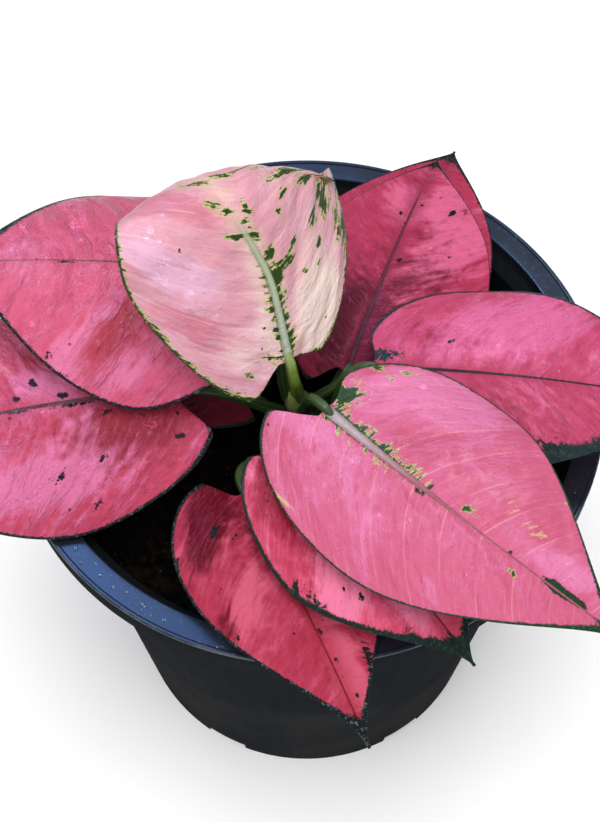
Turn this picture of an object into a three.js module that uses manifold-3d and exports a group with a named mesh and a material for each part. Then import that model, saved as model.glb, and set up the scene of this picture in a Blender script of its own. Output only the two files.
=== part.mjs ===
// A potted chinese evergreen: a nursery pot, its soil, a short cane and eleven leaves.
// Millimetres, +Z up. The pot stands on z = 0 with its axis on x = y = 0, and its front is
// towards -Y. Each leaf is a blade on a stalk, and every stalk springs from the cane.
import * as THREE from 'three';
import { mergeVertices } from 'three/addons/utils/BufferGeometryUtils.js';
import Module from 'manifold-3d';

const wasm = await Module();
wasm.setup();

const degree = Math.PI / 180;

// Clearance that every piece keeps from the next one
const clearance = 0.3;

// Pot: a tapered body, a step near the top and a folded lip with a flat flange
const potHeight = 196;
const lipOuterRadius = 105;
const lipDrop = 10;
const lipWall = 1.6;
const flangeThickness = 1.4;
const openingRadius = 95.8;
const bodyTopRadius = 93.5;
const bodyBaseRadius = 80.5;
const bodyWall = 1.6;
const floorThickness = 2.4;
const beadWidth = 1.2;
const beadHeight = 0.6;
const potSides = 64;

// Drain notches in the pot's lower edge
const notchCount = 6;
const firstNotchAngle = -117;
const notchWidth = 19;
const notchHeight = 7;
const notchDepth = 5;

// Soil
const soilTop = 168;
const soilBump = 1.4;
const soilSides = 44;

// Cane: the short stem, leaning a little to the front
const caneFoot = new THREE.Vector3(0, -8.5, 150);
const caneTop = new THREE.Vector3(-3, -15, 208);
const caneRadius = 5;
const scarPitch = 5.8;
const scarHeight = 0.35;
const caneSides = 12;

// Stalks
const stalkRootRadius = 2.5;
const stalkEndRadius = 1.7;
const stalkGap = 0.6;
const stalkRings = 10;
const stalkSides = 8;
const rootSink = 0.8;

// Blades
const bladeThickness = 0.9;
const baseHalfWidth = 3;
const tipHalfWidth = 0.3;
const ribDepth = 1.3;
const ribHalfWidth = 4.2;
const veinPairs = 9;
const veinHeight = 0.25;
const bladeColumns = 4;
const edgeWave = 1.6;
const wavesAlong = 2;
const bellyPower = 1.25;
const pointPower = 2.7;
const ribPower = 1.25;
const veinSweep = 1.2;
const sinusShare = 0.3;
const curveSteps = 200;

// The leaves, from the youngest to the lowest. base is where blade and stalk meet. Angles are
// degrees: heading from +X towards +Y, pitch upwards, turn and droop added along the blade,
// knee an extra bend [where it starts, how long it takes, how much]. roll raises the left side,
// fold lifts both sides from the midrib and curl lets them fall again towards the margin.
// lobes are the [left, right] basal lobes as shares of the length, and asym widens the left
// side. A larger belly brings the widest place nearer the base, and a larger point draws the tip
// out. root is [height on the cane, direction], and rise is how steeply the stalk sets off.
const leaves = [
  {
    name: 'leaf_young_upright', base: [-5, -22, 240], length: 115, width: 86,
    heading: 112, turn: 16, pitch: 66, droop: -16, knee: [0.38, 0.34, -113],
    roll: 12.5, fold: -2, curl: 32, lobes: [0.115, 0.05], asym: 0, belly: 1.08,
    root: [208.4, 100], rise: 0.9, colour: 0xe6b9b8, stalkColour: 0x6f8a2c,
  },
  {
    name: 'leaf_left_upper', base: [-18, 8, 246], length: 99, width: 96,
    heading: 175, turn: 6, pitch: 8, droop: -14,
    roll: -4, fold: -2, curl: 44, lobes: [0.12, 0.14], asym: 0.01,
    root: [203, 145], rise: 0.9, colour: 0xd8647f, stalkColour: 0x2f4a26,
  },
  {
    name: 'leaf_left_lower', base: [-41, -21, 222], length: 120, width: 90,
    heading: 185, turn: 8, pitch: 2, droop: -17,
    roll: -12, fold: 2, curl: 38, lobes: [0.1, 0.1], asym: 0,
    root: [197, 195], rise: 0.6, colour: 0xcf5670, stalkColour: 0x2f4a26,
  },
  {
    name: 'leaf_back_right_upper', base: [14, -6, 211], length: 105, width: 71,
    heading: 71, turn: -3, pitch: 10, droop: -20,
    roll: 0, fold: 8, curl: 30, lobes: [0.09, 0.03], asym: -0.08,
    root: [195, 40], rise: 0.7, colour: 0xbf4d6b, stalkColour: 0x2a4024,
  },
  {
    name: 'leaf_back_right_lower', base: [15, 6, 200], length: 112, width: 76,
    heading: 67, turn: -1, pitch: 8, droop: -18,
    roll: 0, fold: 8, curl: 30, lobes: [0.08, 0.03], asym: 0.04,
    root: [182, 45], rise: 0.5, colour: 0xb94660, stalkColour: 0x2a4024,
  },
  {
    name: 'leaf_right', base: [22, -13, 224], length: 114, width: 69,
    heading: -6.5, turn: 2, pitch: 8, droop: -24, belly: 1.3,
    roll: 4, fold: 8, curl: 30, lobes: [0.03, 0.09], asym: 0.08,
    root: [188, -28], rise: 0.5, colour: 0xd05f80, stalkColour: 0x2f4a26,
  },
  {
    name: 'leaf_front_right', base: [6, -34, 232], length: 115, width: 77,
    heading: -47.5, turn: 15, pitch: 6, droop: -22, belly: 1.45, point: 2.9,
    roll: 6, fold: 6, curl: 30, lobes: [0.05, 0.13], asym: 0.06,
    root: [204, -65], rise: 0.8, colour: 0xdb6f93, stalkColour: 0x3c5a2a,
  },
  {
    name: 'leaf_front_upper', base: [-6, -41, 218], length: 90, width: 62,
    heading: -49, turn: 0, pitch: 2, droop: -25, belly: 1.3, point: 3,
    roll: 0, fold: 10, curl: 30, lobes: [0.09, 0.09], asym: 0,
    root: [192, -95], rise: 0.5, colour: 0xb53f5e, stalkColour: 0x2a4024,
  },
  {
    name: 'leaf_front_lower', base: [-20, -50, 206], length: 92, width: 66,
    heading: -64, turn: 2, pitch: 8, droop: -42, belly: 1.75, point: 3.2,
    roll: 0, fold: 12, curl: 30, lobes: [0.09, 0.11], asym: 0.03,
    root: [180, -115], rise: 0.4, colour: 0xa83a58, stalkColour: 0x2a4024,
  },
  {
    name: 'leaf_left_lowest', base: [-19, -5, 192], length: 70, width: 40,
    heading: 160, turn: 0, pitch: 2, droop: -10,
    roll: 0, fold: 8, curl: 30, lobes: [0.09, 0.09], asym: 0,
    root: [178, 170], rise: 0.4, colour: 0x8f3350, stalkColour: 0x2a4024,
  },
  {
    name: 'leaf_back_lowest', base: [-6, 14, 186], length: 76, width: 56,
    heading: 104, turn: 0, pitch: 6, droop: -14,
    roll: 0, fold: 8, curl: 30, lobes: [0.09, 0.09], asym: 0,
    root: [172, 95], rise: 0.4, colour: 0x8f3350, stalkColour: 0x2a4024,
  },
];

const plant = new THREE.Group();

function addPiece(name, geometry, colour, roughness) {
  const material = new THREE.MeshStandardMaterial({ color: colour, roughness, metalness: 0 });
  const mesh = new THREE.Mesh(geometry, material);
  mesh.name = name;
  plant.add(mesh);
}

// Booleans ---------------------------------------------------------------------------------

function toSolid(geometry) {
  const bare = geometry.clone();
  bare.deleteAttribute('normal');
  bare.deleteAttribute('uv');
  const merged = mergeVertices(bare, 1e-4);
  return new wasm.Manifold(new wasm.Mesh({
    numProp: 3,
    vertProperties: new Float32Array(merged.attributes.position.array),
    triVerts: new Uint32Array(merged.index.array),
  }));
}

function toGeometry(solid) {
  const mesh = solid.getMesh();
  const geometry = new THREE.BufferGeometry();
  geometry.setAttribute('position', new THREE.BufferAttribute(mesh.vertProperties, 3));
  geometry.setIndex(new THREE.BufferAttribute(mesh.triVerts, 1));
  geometry.computeVertexNormals();
  return geometry;
}

function closedGeometry(points, faces) {
  const geometry = new THREE.BufferGeometry().setFromPoints(points);
  geometry.setIndex(faces);
  geometry.computeVertexNormals();
  return geometry;
}

// Pot and soil -----------------------------------------------------------------------------

function lathe(profile, sides) {
  const outline = profile.map(([radius, height]) => new THREE.Vector2(radius, height));
  return new THREE.LatheGeometry(outline, sides).rotateX(Math.PI / 2);
}

function potProfile() {
  const skirtInner = lipOuterRadius - lipWall;
  const skirtFoot = potHeight - lipDrop;
  const flangeTop = potHeight - beadHeight;
  const flangeUnder = flangeTop - flangeThickness;
  const neckRadius = openingRadius + bodyWall;
  return [
    [0, 0],
    [bodyBaseRadius - 1, 0],
    [bodyBaseRadius, 1],
    [bodyTopRadius, skirtFoot],
    [neckRadius, skirtFoot + 4.4],
    [neckRadius, flangeUnder],
    [skirtInner, flangeUnder],
    [skirtInner, skirtFoot],
    [lipOuterRadius, skirtFoot],
    [lipOuterRadius, potHeight - 0.6],
    [lipOuterRadius - 0.6, potHeight],
    [lipOuterRadius - beadWidth, potHeight],
    [lipOuterRadius - beadWidth - 0.6, flangeTop],
    [openingRadius + 0.6, flangeTop],
    [openingRadius, flangeTop - 0.6],
    [openingRadius, skirtFoot + 5],
    [bodyTopRadius - bodyWall, skirtFoot + 0.6],
    [bodyBaseRadius - bodyWall, floorThickness],
    [0, floorThickness],
  ];
}

function makePot() {
  let pot = toSolid(lathe(potProfile(), potSides));
  const notchReach = 2 * notchDepth;
  for (let i = 0; i < notchCount; i += 1) {
    const notch = new THREE.BoxGeometry(notchReach, notchWidth, 2 * notchHeight);
    notch.translate(bodyBaseRadius - notchDepth + notchReach / 2, 0, 0);
    notch.rotateZ((firstNotchAngle + (360 / notchCount) * i) * degree);
    pot = pot.subtract(toSolid(notch));
  }
  addPiece('pot', toGeometry(pot), 0x23282c, 0.5);
}

// Radius of the pot's inner wall at a height below the step
function innerRadius(height) {
  const low = bodyBaseRadius - bodyWall;
  const high = bodyTopRadius - bodyWall;
  const top = potHeight - lipDrop + 0.6;
  return low + ((high - low) * (height - floorThickness)) / (top - floorThickness);
}

// Gentle lumps of the soil's top, zero at the pot's wall
function soilLump(x, y) {
  const fade = 1 - (x * x + y * y) / innerRadius(soilTop) ** 2;
  const lumps = Math.sin(0.13 * x + 0.5) * Math.cos(0.11 * y) + 0.5 * Math.sin(0.21 * (x - y));
  return soilBump * lumps * Math.max(fade, 0);
}

function makeSoil(hole) {
  const foot = floorThickness + clearance;
  const edge = innerRadius(soilTop) - clearance - 0.15;
  const rings = [1, 0.8, 0.6, 0.4, 0.2].map((share) => [edge * share, soilTop]);
  const profile = [[0, foot], [innerRadius(foot) - clearance - 0.15, foot], ...rings, [0, soilTop]];
  const geometry = lathe(profile, soilSides);
  const place = geometry.attributes.position;
  for (let i = 0; i < place.count; i += 1) {
    if (place.getZ(i) > soilTop - 1) {
      place.setZ(i, soilTop + soilLump(place.getX(i), place.getY(i)));
    }
  }
  addPiece('soil', toGeometry(toSolid(geometry).subtract(hole)), 0x17120f, 0.95);
}

// Cane and stalks --------------------------------------------------------------------------

// Closed round body along a row of points, with a radius at each point
function sweptBody(centres, radii, sides) {
  const points = [];
  const faces = [];
  let side = new THREE.Vector3(0, -1, 0);
  centres.forEach((centre, ring) => {
    const before = centres[Math.max(ring - 1, 0)];
    const after = centres[Math.min(ring + 1, centres.length - 1)];
    const along = after.clone().sub(before).normalize();
    side = side.clone().addScaledVector(along, -side.dot(along)).normalize();
    const other = along.clone().cross(side);
    for (let i = 0; i < sides; i += 1) {
      const angle = (2 * Math.PI * i) / sides;
      const spoke = side.clone().multiplyScalar(Math.cos(angle));
      spoke.addScaledVector(other, Math.sin(angle));
      points.push(centre.clone().addScaledVector(spoke, radii[ring]));
    }
  });
  const ringCount = centres.length;
  for (let ring = 0; ring < ringCount - 1; ring += 1) {
    for (let i = 0; i < sides; i += 1) {
      const a = ring * sides + i;
      const b = ring * sides + ((i + 1) % sides);
      faces.push(a, b, b + sides, a, b + sides, a + sides);
    }
  }
  const footCentre = points.push(centres[0].clone()) - 1;
  const topCentre = points.push(centres[ringCount - 1].clone()) - 1;
  const topRing = (ringCount - 1) * sides;
  for (let i = 0; i < sides; i += 1) {
    const next = (i + 1) % sides;
    faces.push(footCentre, next, i);
    faces.push(topCentre, topRing + i, topRing + next);
  }
  return closedGeometry(points, faces);
}

function caneAt(height) {
  const share = (height - caneFoot.z) / (caneTop.z - caneFoot.z);
  return caneFoot.clone().lerp(caneTop, share);
}

// The cane's body, larger by grow all round; leaf scars stand out as rings
function caneBody(grow) {
  const centres = [];
  const radii = [];
  const rings = Math.round((2 * (caneTop.z - caneFoot.z)) / scarPitch);
  for (let i = 0; i <= rings; i += 1) {
    const reach = i === 0 ? -grow : i === rings ? grow : 0;
    const height = caneFoot.z + ((caneTop.z - caneFoot.z) * i) / rings + reach;
    const taper = 1 - 0.12 * (i / rings);
    centres.push(caneAt(height));
    radii.push(caneRadius * taper + (i % 2 ? scarHeight : 0) + grow);
  }
  return sweptBody(centres, radii, caneSides);
}

function headingVector(leaf) {
  const heading = leaf.heading * degree;
  const pitch = leaf.pitch * degree;
  const level = Math.cos(pitch);
  return new THREE.Vector3(
    level * Math.cos(heading),
    level * Math.sin(heading),
    Math.sin(pitch),
  );
}

// The stalk's route from the cane to the blade
function stalkRoute(leaf) {
  const [height, direction] = leaf.root;
  const outward = new THREE.Vector3(Math.cos(direction * degree), Math.sin(direction * degree), 0);
  const blade = headingVector(leaf);
  const end = new THREE.Vector3(...leaf.base).addScaledVector(blade, -stalkGap);
  const fromTop = height > caneTop.z;
  const start = caneAt(height);
  if (!fromTop) {
    start.addScaledVector(outward, caneRadius * rootSink);
  }
  const reach = end.distanceTo(start);
  const lift = new THREE.Vector3(0, 0, leaf.rise);
  const setOff = fromTop
    ? new THREE.Vector3(0, -0.2, 1)
    : lift.addScaledVector(outward, 1.3 - leaf.rise);
  const first = start.clone().addScaledVector(setOff, 0.4 * reach);
  const second = end.clone().addScaledVector(blade, -0.36 * reach);
  return new THREE.CubicBezierCurve3(start, first, second, end);
}

function stalkBody(leaf) {
  const centres = stalkRoute(leaf).getPoints(stalkRings - 1);
  const radii = centres.map((_, i) => {
    const share = i / (stalkRings - 1);
    return stalkRootRadius + (stalkEndRadius - stalkRootRadius) * share;
  });
  return sweptBody(centres, radii, stalkSides);
}

// Blades -----------------------------------------------------------------------------------

function smooth(value) {
  const x = Math.min(Math.max(value, 0), 1);
  return x * x * (3 - 2 * x);
}

// Margin of the flat half blade: along and half width, as shares of length and half width.
// The blade keeps a little width where it meets the stalk and at its tip.
function marginAt(leaf, t, lobe, halfWidth) {
  const angle = Math.PI * t;
  const power = 1 + ((leaf.point ?? pointPower) - 1) * smooth(t);
  const least = (t < 0.5 ? baseHalfWidth : tipHalfWidth) / halfWidth;
  const across = Math.max(Math.max(Math.sin(angle), 0) ** power, least);
  const along = ((1 - Math.cos(angle)) / 2) ** (leaf.belly ?? bellyPower) * (1 + lobe) - lobe;
  const sinus = t < 0.5 ? lobe * (1 - smooth((across - least) / sinusShare)) : 0;
  return { along: along + sinus, across };
}

// The midrib as rows of place, left and up, from behind the base to just past the tip
function midribRows(leaf) {
  const first = -0.25;
  const last = 1.02;
  const step = (last - first) / (curveSteps - 1);
  const [kneeStart, kneeLength, kneeAngle] = leaf.knee ?? [0, 1, 0];
  const rows = [];
  const place = new THREE.Vector3();
  for (let i = 0; i < curveSteps; i += 1) {
    const u = Math.min(Math.max(first + step * i, 0), 1);
    const kneeBend = kneeAngle * smooth((u - kneeStart) / kneeLength);
    const pitch = (leaf.pitch + leaf.droop * u + kneeBend) * degree;
    const heading = (leaf.heading + leaf.turn * u) * degree;
    const along = new THREE.Vector3(
      Math.cos(pitch) * Math.cos(heading),
      Math.cos(pitch) * Math.sin(heading),
      Math.sin(pitch),
    );
    const level = new THREE.Vector3(-Math.sin(heading), Math.cos(heading), 0);
    const upright = along.clone().cross(level);
    const roll = leaf.roll * degree;
    const left = level.multiplyScalar(Math.cos(roll)).addScaledVector(upright, Math.sin(roll));
    const up = along.clone().cross(left);
    place.addScaledVector(along, step * leaf.length);
    rows.push({ place: place.clone(), left, up });
  }
  const atBase = Math.round(-first / step);
  const shift = new THREE.Vector3(...leaf.base).sub(rows[atBase].place);
  rows.forEach((row) => row.place.add(shift));
  return (x) => {
    const spot = (x - first) / step;
    const low = Math.min(Math.max(Math.floor(spot), 0), curveSteps - 2);
    const share = spot - low;
    return {
      place: rows[low].place.clone().lerp(rows[low + 1].place, share),
      left: rows[low].left.clone().lerp(rows[low + 1].left, share),
      up: rows[low].up.clone().lerp(rows[low + 1].up, share),
    };
  };
}

// One point of the blade's upper face and the way its thickness goes. t runs from base to
// tip along the veins, s from -1 at the right margin to 1 at the left one.
function bladePoint(leaf, rowAt, t, s) {
  const side = Math.sign(s);
  const halfWidth = (leaf.width / 2) * (1 + leaf.asym * side);
  const margin = marginAt(leaf, t, s > 0 ? leaf.lobes[0] : leaf.lobes[1], halfWidth);
  const onRib = t ** ribPower;
  const along = onRib + (margin.along - onRib) * Math.abs(s) ** veinSweep;
  const out = margin.across * Math.abs(s);
  const fold = leaf.fold * degree;
  const curl = leaf.curl * degree;
  const tilt = fold - curl * out;
  const across = ((Math.sin(fold) - Math.sin(tilt)) / curl) * halfWidth * side;
  const waveAngle = 2 * Math.PI * (wavesAlong * along + 0.13 * side);
  const wave = edgeWave * out * out * Math.sin(waveAngle);
  const rise = ((Math.cos(tilt) - Math.cos(fold)) / curl) * halfWidth + wave;
  const { place, left, up } = rowAt(along);
  const point = place.addScaledVector(left, across).addScaledVector(up, rise);
  const normal = up.clone().multiplyScalar(Math.cos(tilt));
  normal.addScaledVector(left, -Math.sin(tilt) * side).normalize();
  return { point, normal, out: out * halfWidth };
}

// Closed blade: both faces share one grid, the lower one carries the midrib's keel and the
// upper one the raised veins, one vein pair to every second row.
function bladeBody(leaf) {
  const rowAt = midribRows(leaf);
  const rows = 2 * veinPairs + 1;
  const columns = 2 * bladeColumns + 1;
  const points = [];
  for (const face of [1, -1]) {
    for (let row = 0; row < rows; row += 1) {
      const t = row / (rows - 1);
      for (let column = 0; column < columns; column += 1) {
        const step = column / bladeColumns - 1;
        const s = Math.sign(step) * Math.abs(step) ** 1.4;
        const { point, normal, out } = bladePoint(leaf, rowAt, t, s);
        const vein = row % 2 ? 0 : veinHeight * (1 - s * s) * Math.sin(Math.PI * t);
        const keel = ribDepth * (1 - 0.75 * t) * Math.max(1 - out / ribHalfWidth, 0);
        const offset = face > 0 ? vein : -bladeThickness - keel;
        points.push(point.addScaledVector(normal, offset));
      }
    }
  }
  const lower = rows * columns;
  const faces = [];
  const quad = (a, b, c, d) => faces.push(a, b, c, a, c, d);
  for (let row = 0; row < rows - 1; row += 1) {
    for (let column = 0; column < columns - 1; column += 1) {
      const a = row * columns + column;
      const b = a + columns;
      faces.push(a, b, b + 1, a, b + 1, a + 1);
      faces.push(lower + a, lower + b + 1, lower + b, lower + a, lower + a + 1, lower + b + 1);
    }
    const right = row * columns;
    const left = right + columns - 1;
    quad(right, lower + right, lower + right + columns, right + columns);
    quad(left, left + columns, lower + left + columns, lower + left);
  }
  for (let column = 0; column < columns - 1; column += 1) {
    const tip = (rows - 1) * columns + column;
    quad(column, column + 1, lower + column + 1, lower + column);
    quad(tip, lower + tip, lower + tip + 1, tip + 1);
  }
  return closedGeometry(points, faces);
}

// Assembly ---------------------------------------------------------------------------------

const caneHole = toSolid(caneBody(clearance));

makePot();
makeSoil(caneHole);
addPiece('cane', caneBody(0), 0x5a5233, 0.7);

for (const leaf of leaves) {
  const blade = bladeBody(leaf);
  const stalk = toSolid(stalkBody(leaf)).subtract(caneHole);
  addPiece(`${leaf.name}_blade`, blade, leaf.colour, 0.4);
  addPiece(`${leaf.name}_stalk`, toGeometry(stalk), leaf.stalkColour, 0.45);
}

export default plant;
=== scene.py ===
"""A potted chinese evergreen: a black nursery pot, dark soil, a short cane and eleven pink leaves.

Sizes are metres and angles are degrees unless a name says otherwise. Every blade comes from one
formula in which t runs from the base to the tip and s from the right margin (-1) to the left (1),
so that a line of equal t is a lateral vein.
"""

import bpy
import numpy as np
from mathutils import Matrix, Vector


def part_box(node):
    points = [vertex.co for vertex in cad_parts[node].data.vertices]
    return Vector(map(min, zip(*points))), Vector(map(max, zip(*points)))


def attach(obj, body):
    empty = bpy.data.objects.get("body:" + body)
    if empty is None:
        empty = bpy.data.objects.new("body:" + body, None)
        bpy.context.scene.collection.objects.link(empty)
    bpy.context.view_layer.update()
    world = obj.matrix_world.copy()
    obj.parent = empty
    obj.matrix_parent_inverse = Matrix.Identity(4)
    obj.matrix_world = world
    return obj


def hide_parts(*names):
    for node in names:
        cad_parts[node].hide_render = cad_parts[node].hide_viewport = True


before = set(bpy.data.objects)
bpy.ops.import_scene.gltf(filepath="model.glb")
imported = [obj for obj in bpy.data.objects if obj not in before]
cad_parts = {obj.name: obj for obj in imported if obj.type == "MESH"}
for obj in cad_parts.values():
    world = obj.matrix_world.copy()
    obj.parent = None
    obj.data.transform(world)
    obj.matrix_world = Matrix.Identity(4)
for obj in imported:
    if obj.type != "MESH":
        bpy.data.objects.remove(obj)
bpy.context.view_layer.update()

MM = 0.001

# The photograph's camera, aimed at the centre of the pot's rim and then turned a little
IMAGE_HEIGHT_PIXELS = 822
FOCAL_PIXELS = 1200
SENSOR = 36
CAMERA_DISTANCE = 0.426
CAMERA_ELEVATION = 57
CAMERA_PAN = -0.3
CAMERA_TILT = -1.5

# Pot
LIP_RADIUS, _, RIM_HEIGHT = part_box("pot")[1]
LIP_DROP = 0.010
WALL = 0.0016
FLANGE = 0.0014
OPENING_RADIUS = 0.0958
BODY_TOP_RADIUS = 0.0935
BODY_BASE_RADIUS = 0.0805
FLOOR = 0.0024
BEAD_WIDTH = 0.0012
BEAD_HEIGHT = 0.0006
FOOT_ROUND = 0.001
LIP_ROUND = 0.0006
BEAD_ROUND = 0.0003
MOUTH_ROUND = 0.0008
NOTCHES = 6
FIRST_NOTCH = -117
NOTCH_WIDTH = 0.019
NOTCH_HEIGHT = 0.007
NOTCH_DEPTH = 0.005
POT_SIDES = 360

# Soil
SOIL_TOP = 0.168
SOIL_LUMP = 0.0014
SOIL_SETTLING = 0.0004
SOIL_SIDES = 256
SOIL_RINGS = 90
WALL_GAP = 0.00045
FLOOR_GAP = 0.0003
CRUMBS = 420
CRUMB_SIDES = 8

# Cane and stalks
CANE_FOOT = np.array((0, -0.0085, 0.150))
CANE_TOP = np.array((-0.003, -0.015, 0.208))
CANE_RADIUS = 0.005
CANE_RINGS = 150
CANE_SIDES = 48
SCAR_PITCH = 0.0058
STALK_ROOT_RADIUS = 0.0023
STALK_END_RADIUS = 0.0017
STALK_GAP = 0.0006
STALK_SIDES = 40
UNDER_BLADE_RUN = 0.010
ROOT_SINK = 0.8
SHEATH_SIDES = 28

# Blades
BLADE_THICKNESS = 0.0009
MARGIN_BLUNTNESS = 14
BASE_HALF_WIDTH = 0.003
TIP_HALF_WIDTH = 0.0003
RIB_DEPTH = 0.0013
RIB_HALF_WIDTH = 0.0042
VEIN_PAIRS = 9
EDGE_WAVE = 0.0016
WAVES_ALONG = 2
RIB_POWER = 1.25
VEIN_SWEEP = 1.2
SINUS_SHARE = 0.3
VEIN_LEAN = 0.10
VEIN_CURVE = 0.16
CURVE_STEPS = 200
BEHIND_BASE = 0.25
BLADE_ROWS = 181
BLADE_COLUMNS = 129

# Drops and studio
DROP_SIDES = 24
DROP_RINGS = 8
DROP_SINK = 0.00035
FLOOR_HALF_SIZE = 4.0

# The leaves, from the youngest to the lowest. base is where blade and stalk meet, and root is
# the stalk's height on the cane and its direction. knee is an extra bend along the blade: where
# it starts, how long it takes and how much. lobes are the left and right basal lobes as shares
# of the length, and asym widens the left side. A larger belly brings the widest place nearer the
# base, and a larger point draws the tip out. USUAL_LEAF holds where a leaf says nothing else.
USUAL_LEAF = dict(turn=0, knee=(0, 1, 0), roll=0, fold=8, curl=30, lobes=(0.09, 0.09), asym=0,
                  belly=1.25, point=2.7)
LEAVES = {
    "leaf_young_upright": dict(
        base=(-0.005, -0.022, 0.240), length=0.115, width=0.086, heading=112, turn=16, pitch=66,
        droop=-16, knee=(0.38, 0.34, -113), roll=12.5, fold=-2, curl=32, lobes=(0.115, 0.05),
        belly=1.08, root=(0.2084, 100), rise=0.9, look="young"),
    "leaf_left_upper": dict(
        base=(-0.018, 0.008, 0.246), length=0.099, width=0.096, heading=175, turn=6, pitch=8,
        droop=-14, roll=-4, fold=-2, curl=44, lobes=(0.12, 0.14), asym=0.01, root=(0.203, 145),
        rise=0.9, look="hot"),
    "leaf_left_lower": dict(
        base=(-0.041, -0.021, 0.222), length=0.120, width=0.090, heading=185, turn=8, pitch=2,
        droop=-17, roll=-12, fold=2, curl=38, lobes=(0.1, 0.1), root=(0.197, 195), rise=0.6,
        look="warm"),
    "leaf_back_right_upper": dict(
        base=(0.014, -0.006, 0.211), length=0.105, width=0.071, heading=71, turn=-3, pitch=10,
        droop=-20, lobes=(0.09, 0.03), asym=-0.08, root=(0.195, 40), rise=0.7, look="rose"),
    "leaf_back_right_lower": dict(
        base=(0.015, 0.006, 0.200), length=0.112, width=0.076, heading=67, turn=-1, pitch=8, droop=-18,
        lobes=(0.08, 0.03), asym=0.04, root=(0.182, 45), rise=0.5, look="rose"),
    "leaf_right": dict(
        base=(0.022, -0.013, 0.224), length=0.114, width=0.069, heading=-6.5, turn=2, pitch=8,
        droop=-24, roll=4, belly=1.3, lobes=(0.03, 0.09), asym=0.08, root=(0.188, -28), rise=0.5,
        look="edged"),
    "leaf_front_right": dict(
        base=(0.006, -0.034, 0.232), length=0.115, width=0.077, heading=-47.5, turn=15, pitch=6,
        droop=-22, roll=6, fold=6, belly=1.45, point=2.9, lobes=(0.05, 0.13), asym=0.06,
        root=(0.204, -65), rise=0.8, look="pink"),
    "leaf_front_upper": dict(
        base=(-0.006, -0.041, 0.218), length=0.090, width=0.062, heading=-49, pitch=2, droop=-25,
        fold=10, belly=1.3, point=3.0, root=(0.192, -95), rise=0.5, look="crimson"),
    "leaf_front_lower": dict(
        base=(-0.020, -0.050, 0.206), length=0.092, width=0.066, heading=-64, turn=2, pitch=8,
        droop=-42, fold=12, belly=1.75, point=3.2, lobes=(0.09, 0.11), asym=0.03, root=(0.180, -115),
        rise=0.4, look="wine"),
    "leaf_left_lowest": dict(
        base=(-0.019, -0.005, 0.192), length=0.070, width=0.040, heading=160, pitch=2, droop=-10,
        root=(0.178, 170), rise=0.4, look="shaded"),
    "leaf_back_lowest": dict(
        base=(-0.006, 0.014, 0.186), length=0.076, width=0.056, heading=104, pitch=6, droop=-14,
        root=(0.172, 95), rise=0.4, look="shaded"),
}


# Arrays and meshes -----------------------------------------------------------------------------

def smooth(value):
    """0 below 0, 1 above 1 and an S-shaped rise between."""
    x = np.clip(value, 0, 1)
    return x * x * (3 - 2 * x)


def bell(value):
    """1 at 0 and falling off on both sides: e to the power of minus the square."""
    return np.exp(-(value ** 2))


def unit(vectors):
    """The same directions with length 1."""
    return vectors / np.linalg.norm(vectors, axis=-1, keepdims=True)


def level_direction(angle):
    """The level direction at an angle from +X towards +Y."""
    return np.array((np.cos(np.radians(angle)), np.sin(np.radians(angle)), 0))


def once_round(sides):
    """Equal steps round a circle, in radians."""
    return np.linspace(0, 2 * np.pi, sides, endpoint=False)


def follow(rows, marks, at):
    """Each column of rows, which belong to rising marks, read off at other places."""
    return np.stack([np.interp(at, marks, column) for column in rows.T], -1)


def grid_faces(numbers, wrap=False):
    """Quads over a grid of point numbers; wrap joins the last column to the first."""
    right = np.roll(numbers, -1, 1) if wrap else numbers[:, 1:]
    left = numbers if wrap else numbers[:, :-1]
    quads = np.stack((left[:-1], right[:-1], right[1:], left[1:]), -1)
    return quads.reshape(-1, 4)


def fan_faces(ring, centre):
    """Triangles from a closed ring of point numbers to its centre point, as quads that repeat it."""
    middle = np.full_like(ring, centre)
    return np.stack((ring, np.roll(ring, -1), middle, middle), -1)


def closed_faces(rings, sides):
    """Faces of a closed body whose points are numbered ring by ring, then the middle of the first
    ring's end and the middle of the last ring's end."""
    numbers = np.arange(rings * sides).reshape(rings, sides)
    return np.concatenate((
        grid_faces(numbers, wrap=True),
        fan_faces(numbers[0, ::-1], numbers.size),
        fan_faces(numbers[-1], numbers.size + 1),
    ))


def lay_mesh(name, points, faces):
    """A smooth mesh from whole arrays. A face that repeats its last point is a triangle."""
    kept = np.ones(faces.shape, bool)
    kept[:, 3] = faces[:, 3] != faces[:, 2]
    sizes = kept.sum(1)
    mesh = bpy.data.meshes.new(name)
    mesh.vertices.add(len(points))
    mesh.vertices.foreach_set("co", np.ascontiguousarray(points, np.float32).ravel())
    corners = faces[kept].astype(np.int32)
    mesh.loops.add(len(corners))
    mesh.loops.foreach_set("vertex_index", corners)
    mesh.polygons.add(len(faces))
    mesh.polygons.foreach_set("loop_start", (np.cumsum(sizes) - sizes).astype(np.int32))
    mesh.update(calc_edges=True)
    mesh.validate()
    mesh.shade_smooth()
    return mesh


def add_marks(mesh, uv, marks):
    """Gives a mesh the UV map and the point attributes that its finish reads."""
    corners = np.empty(len(mesh.loops), np.int32)
    mesh.loops.foreach_get("vertex_index", corners)
    layer = mesh.uv_layers.new(name="veins")
    layer.data.foreach_set("uv", uv[corners].astype(np.float32).ravel())
    for mark, values in marks.items():
        attribute = mesh.attributes.new(mark, "FLOAT", "POINT")
        attribute.data.foreach_set("value", values.astype(np.float32).ravel())


def put(name, data):
    """A new object in the scene for a mesh, a light or the camera."""
    thing = bpy.data.objects.new(name, data)
    bpy.context.scene.collection.objects.link(thing)
    return thing


def add_piece(mesh, finish, nodes=()):
    """Puts a mesh in the scene as a piece that rides on the part and stands for its CAD nodes."""
    piece = put(mesh.name, mesh)
    mesh.materials.append(finish)
    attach(piece, "root")
    if nodes:
        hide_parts(*nodes)
    return piece


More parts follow.
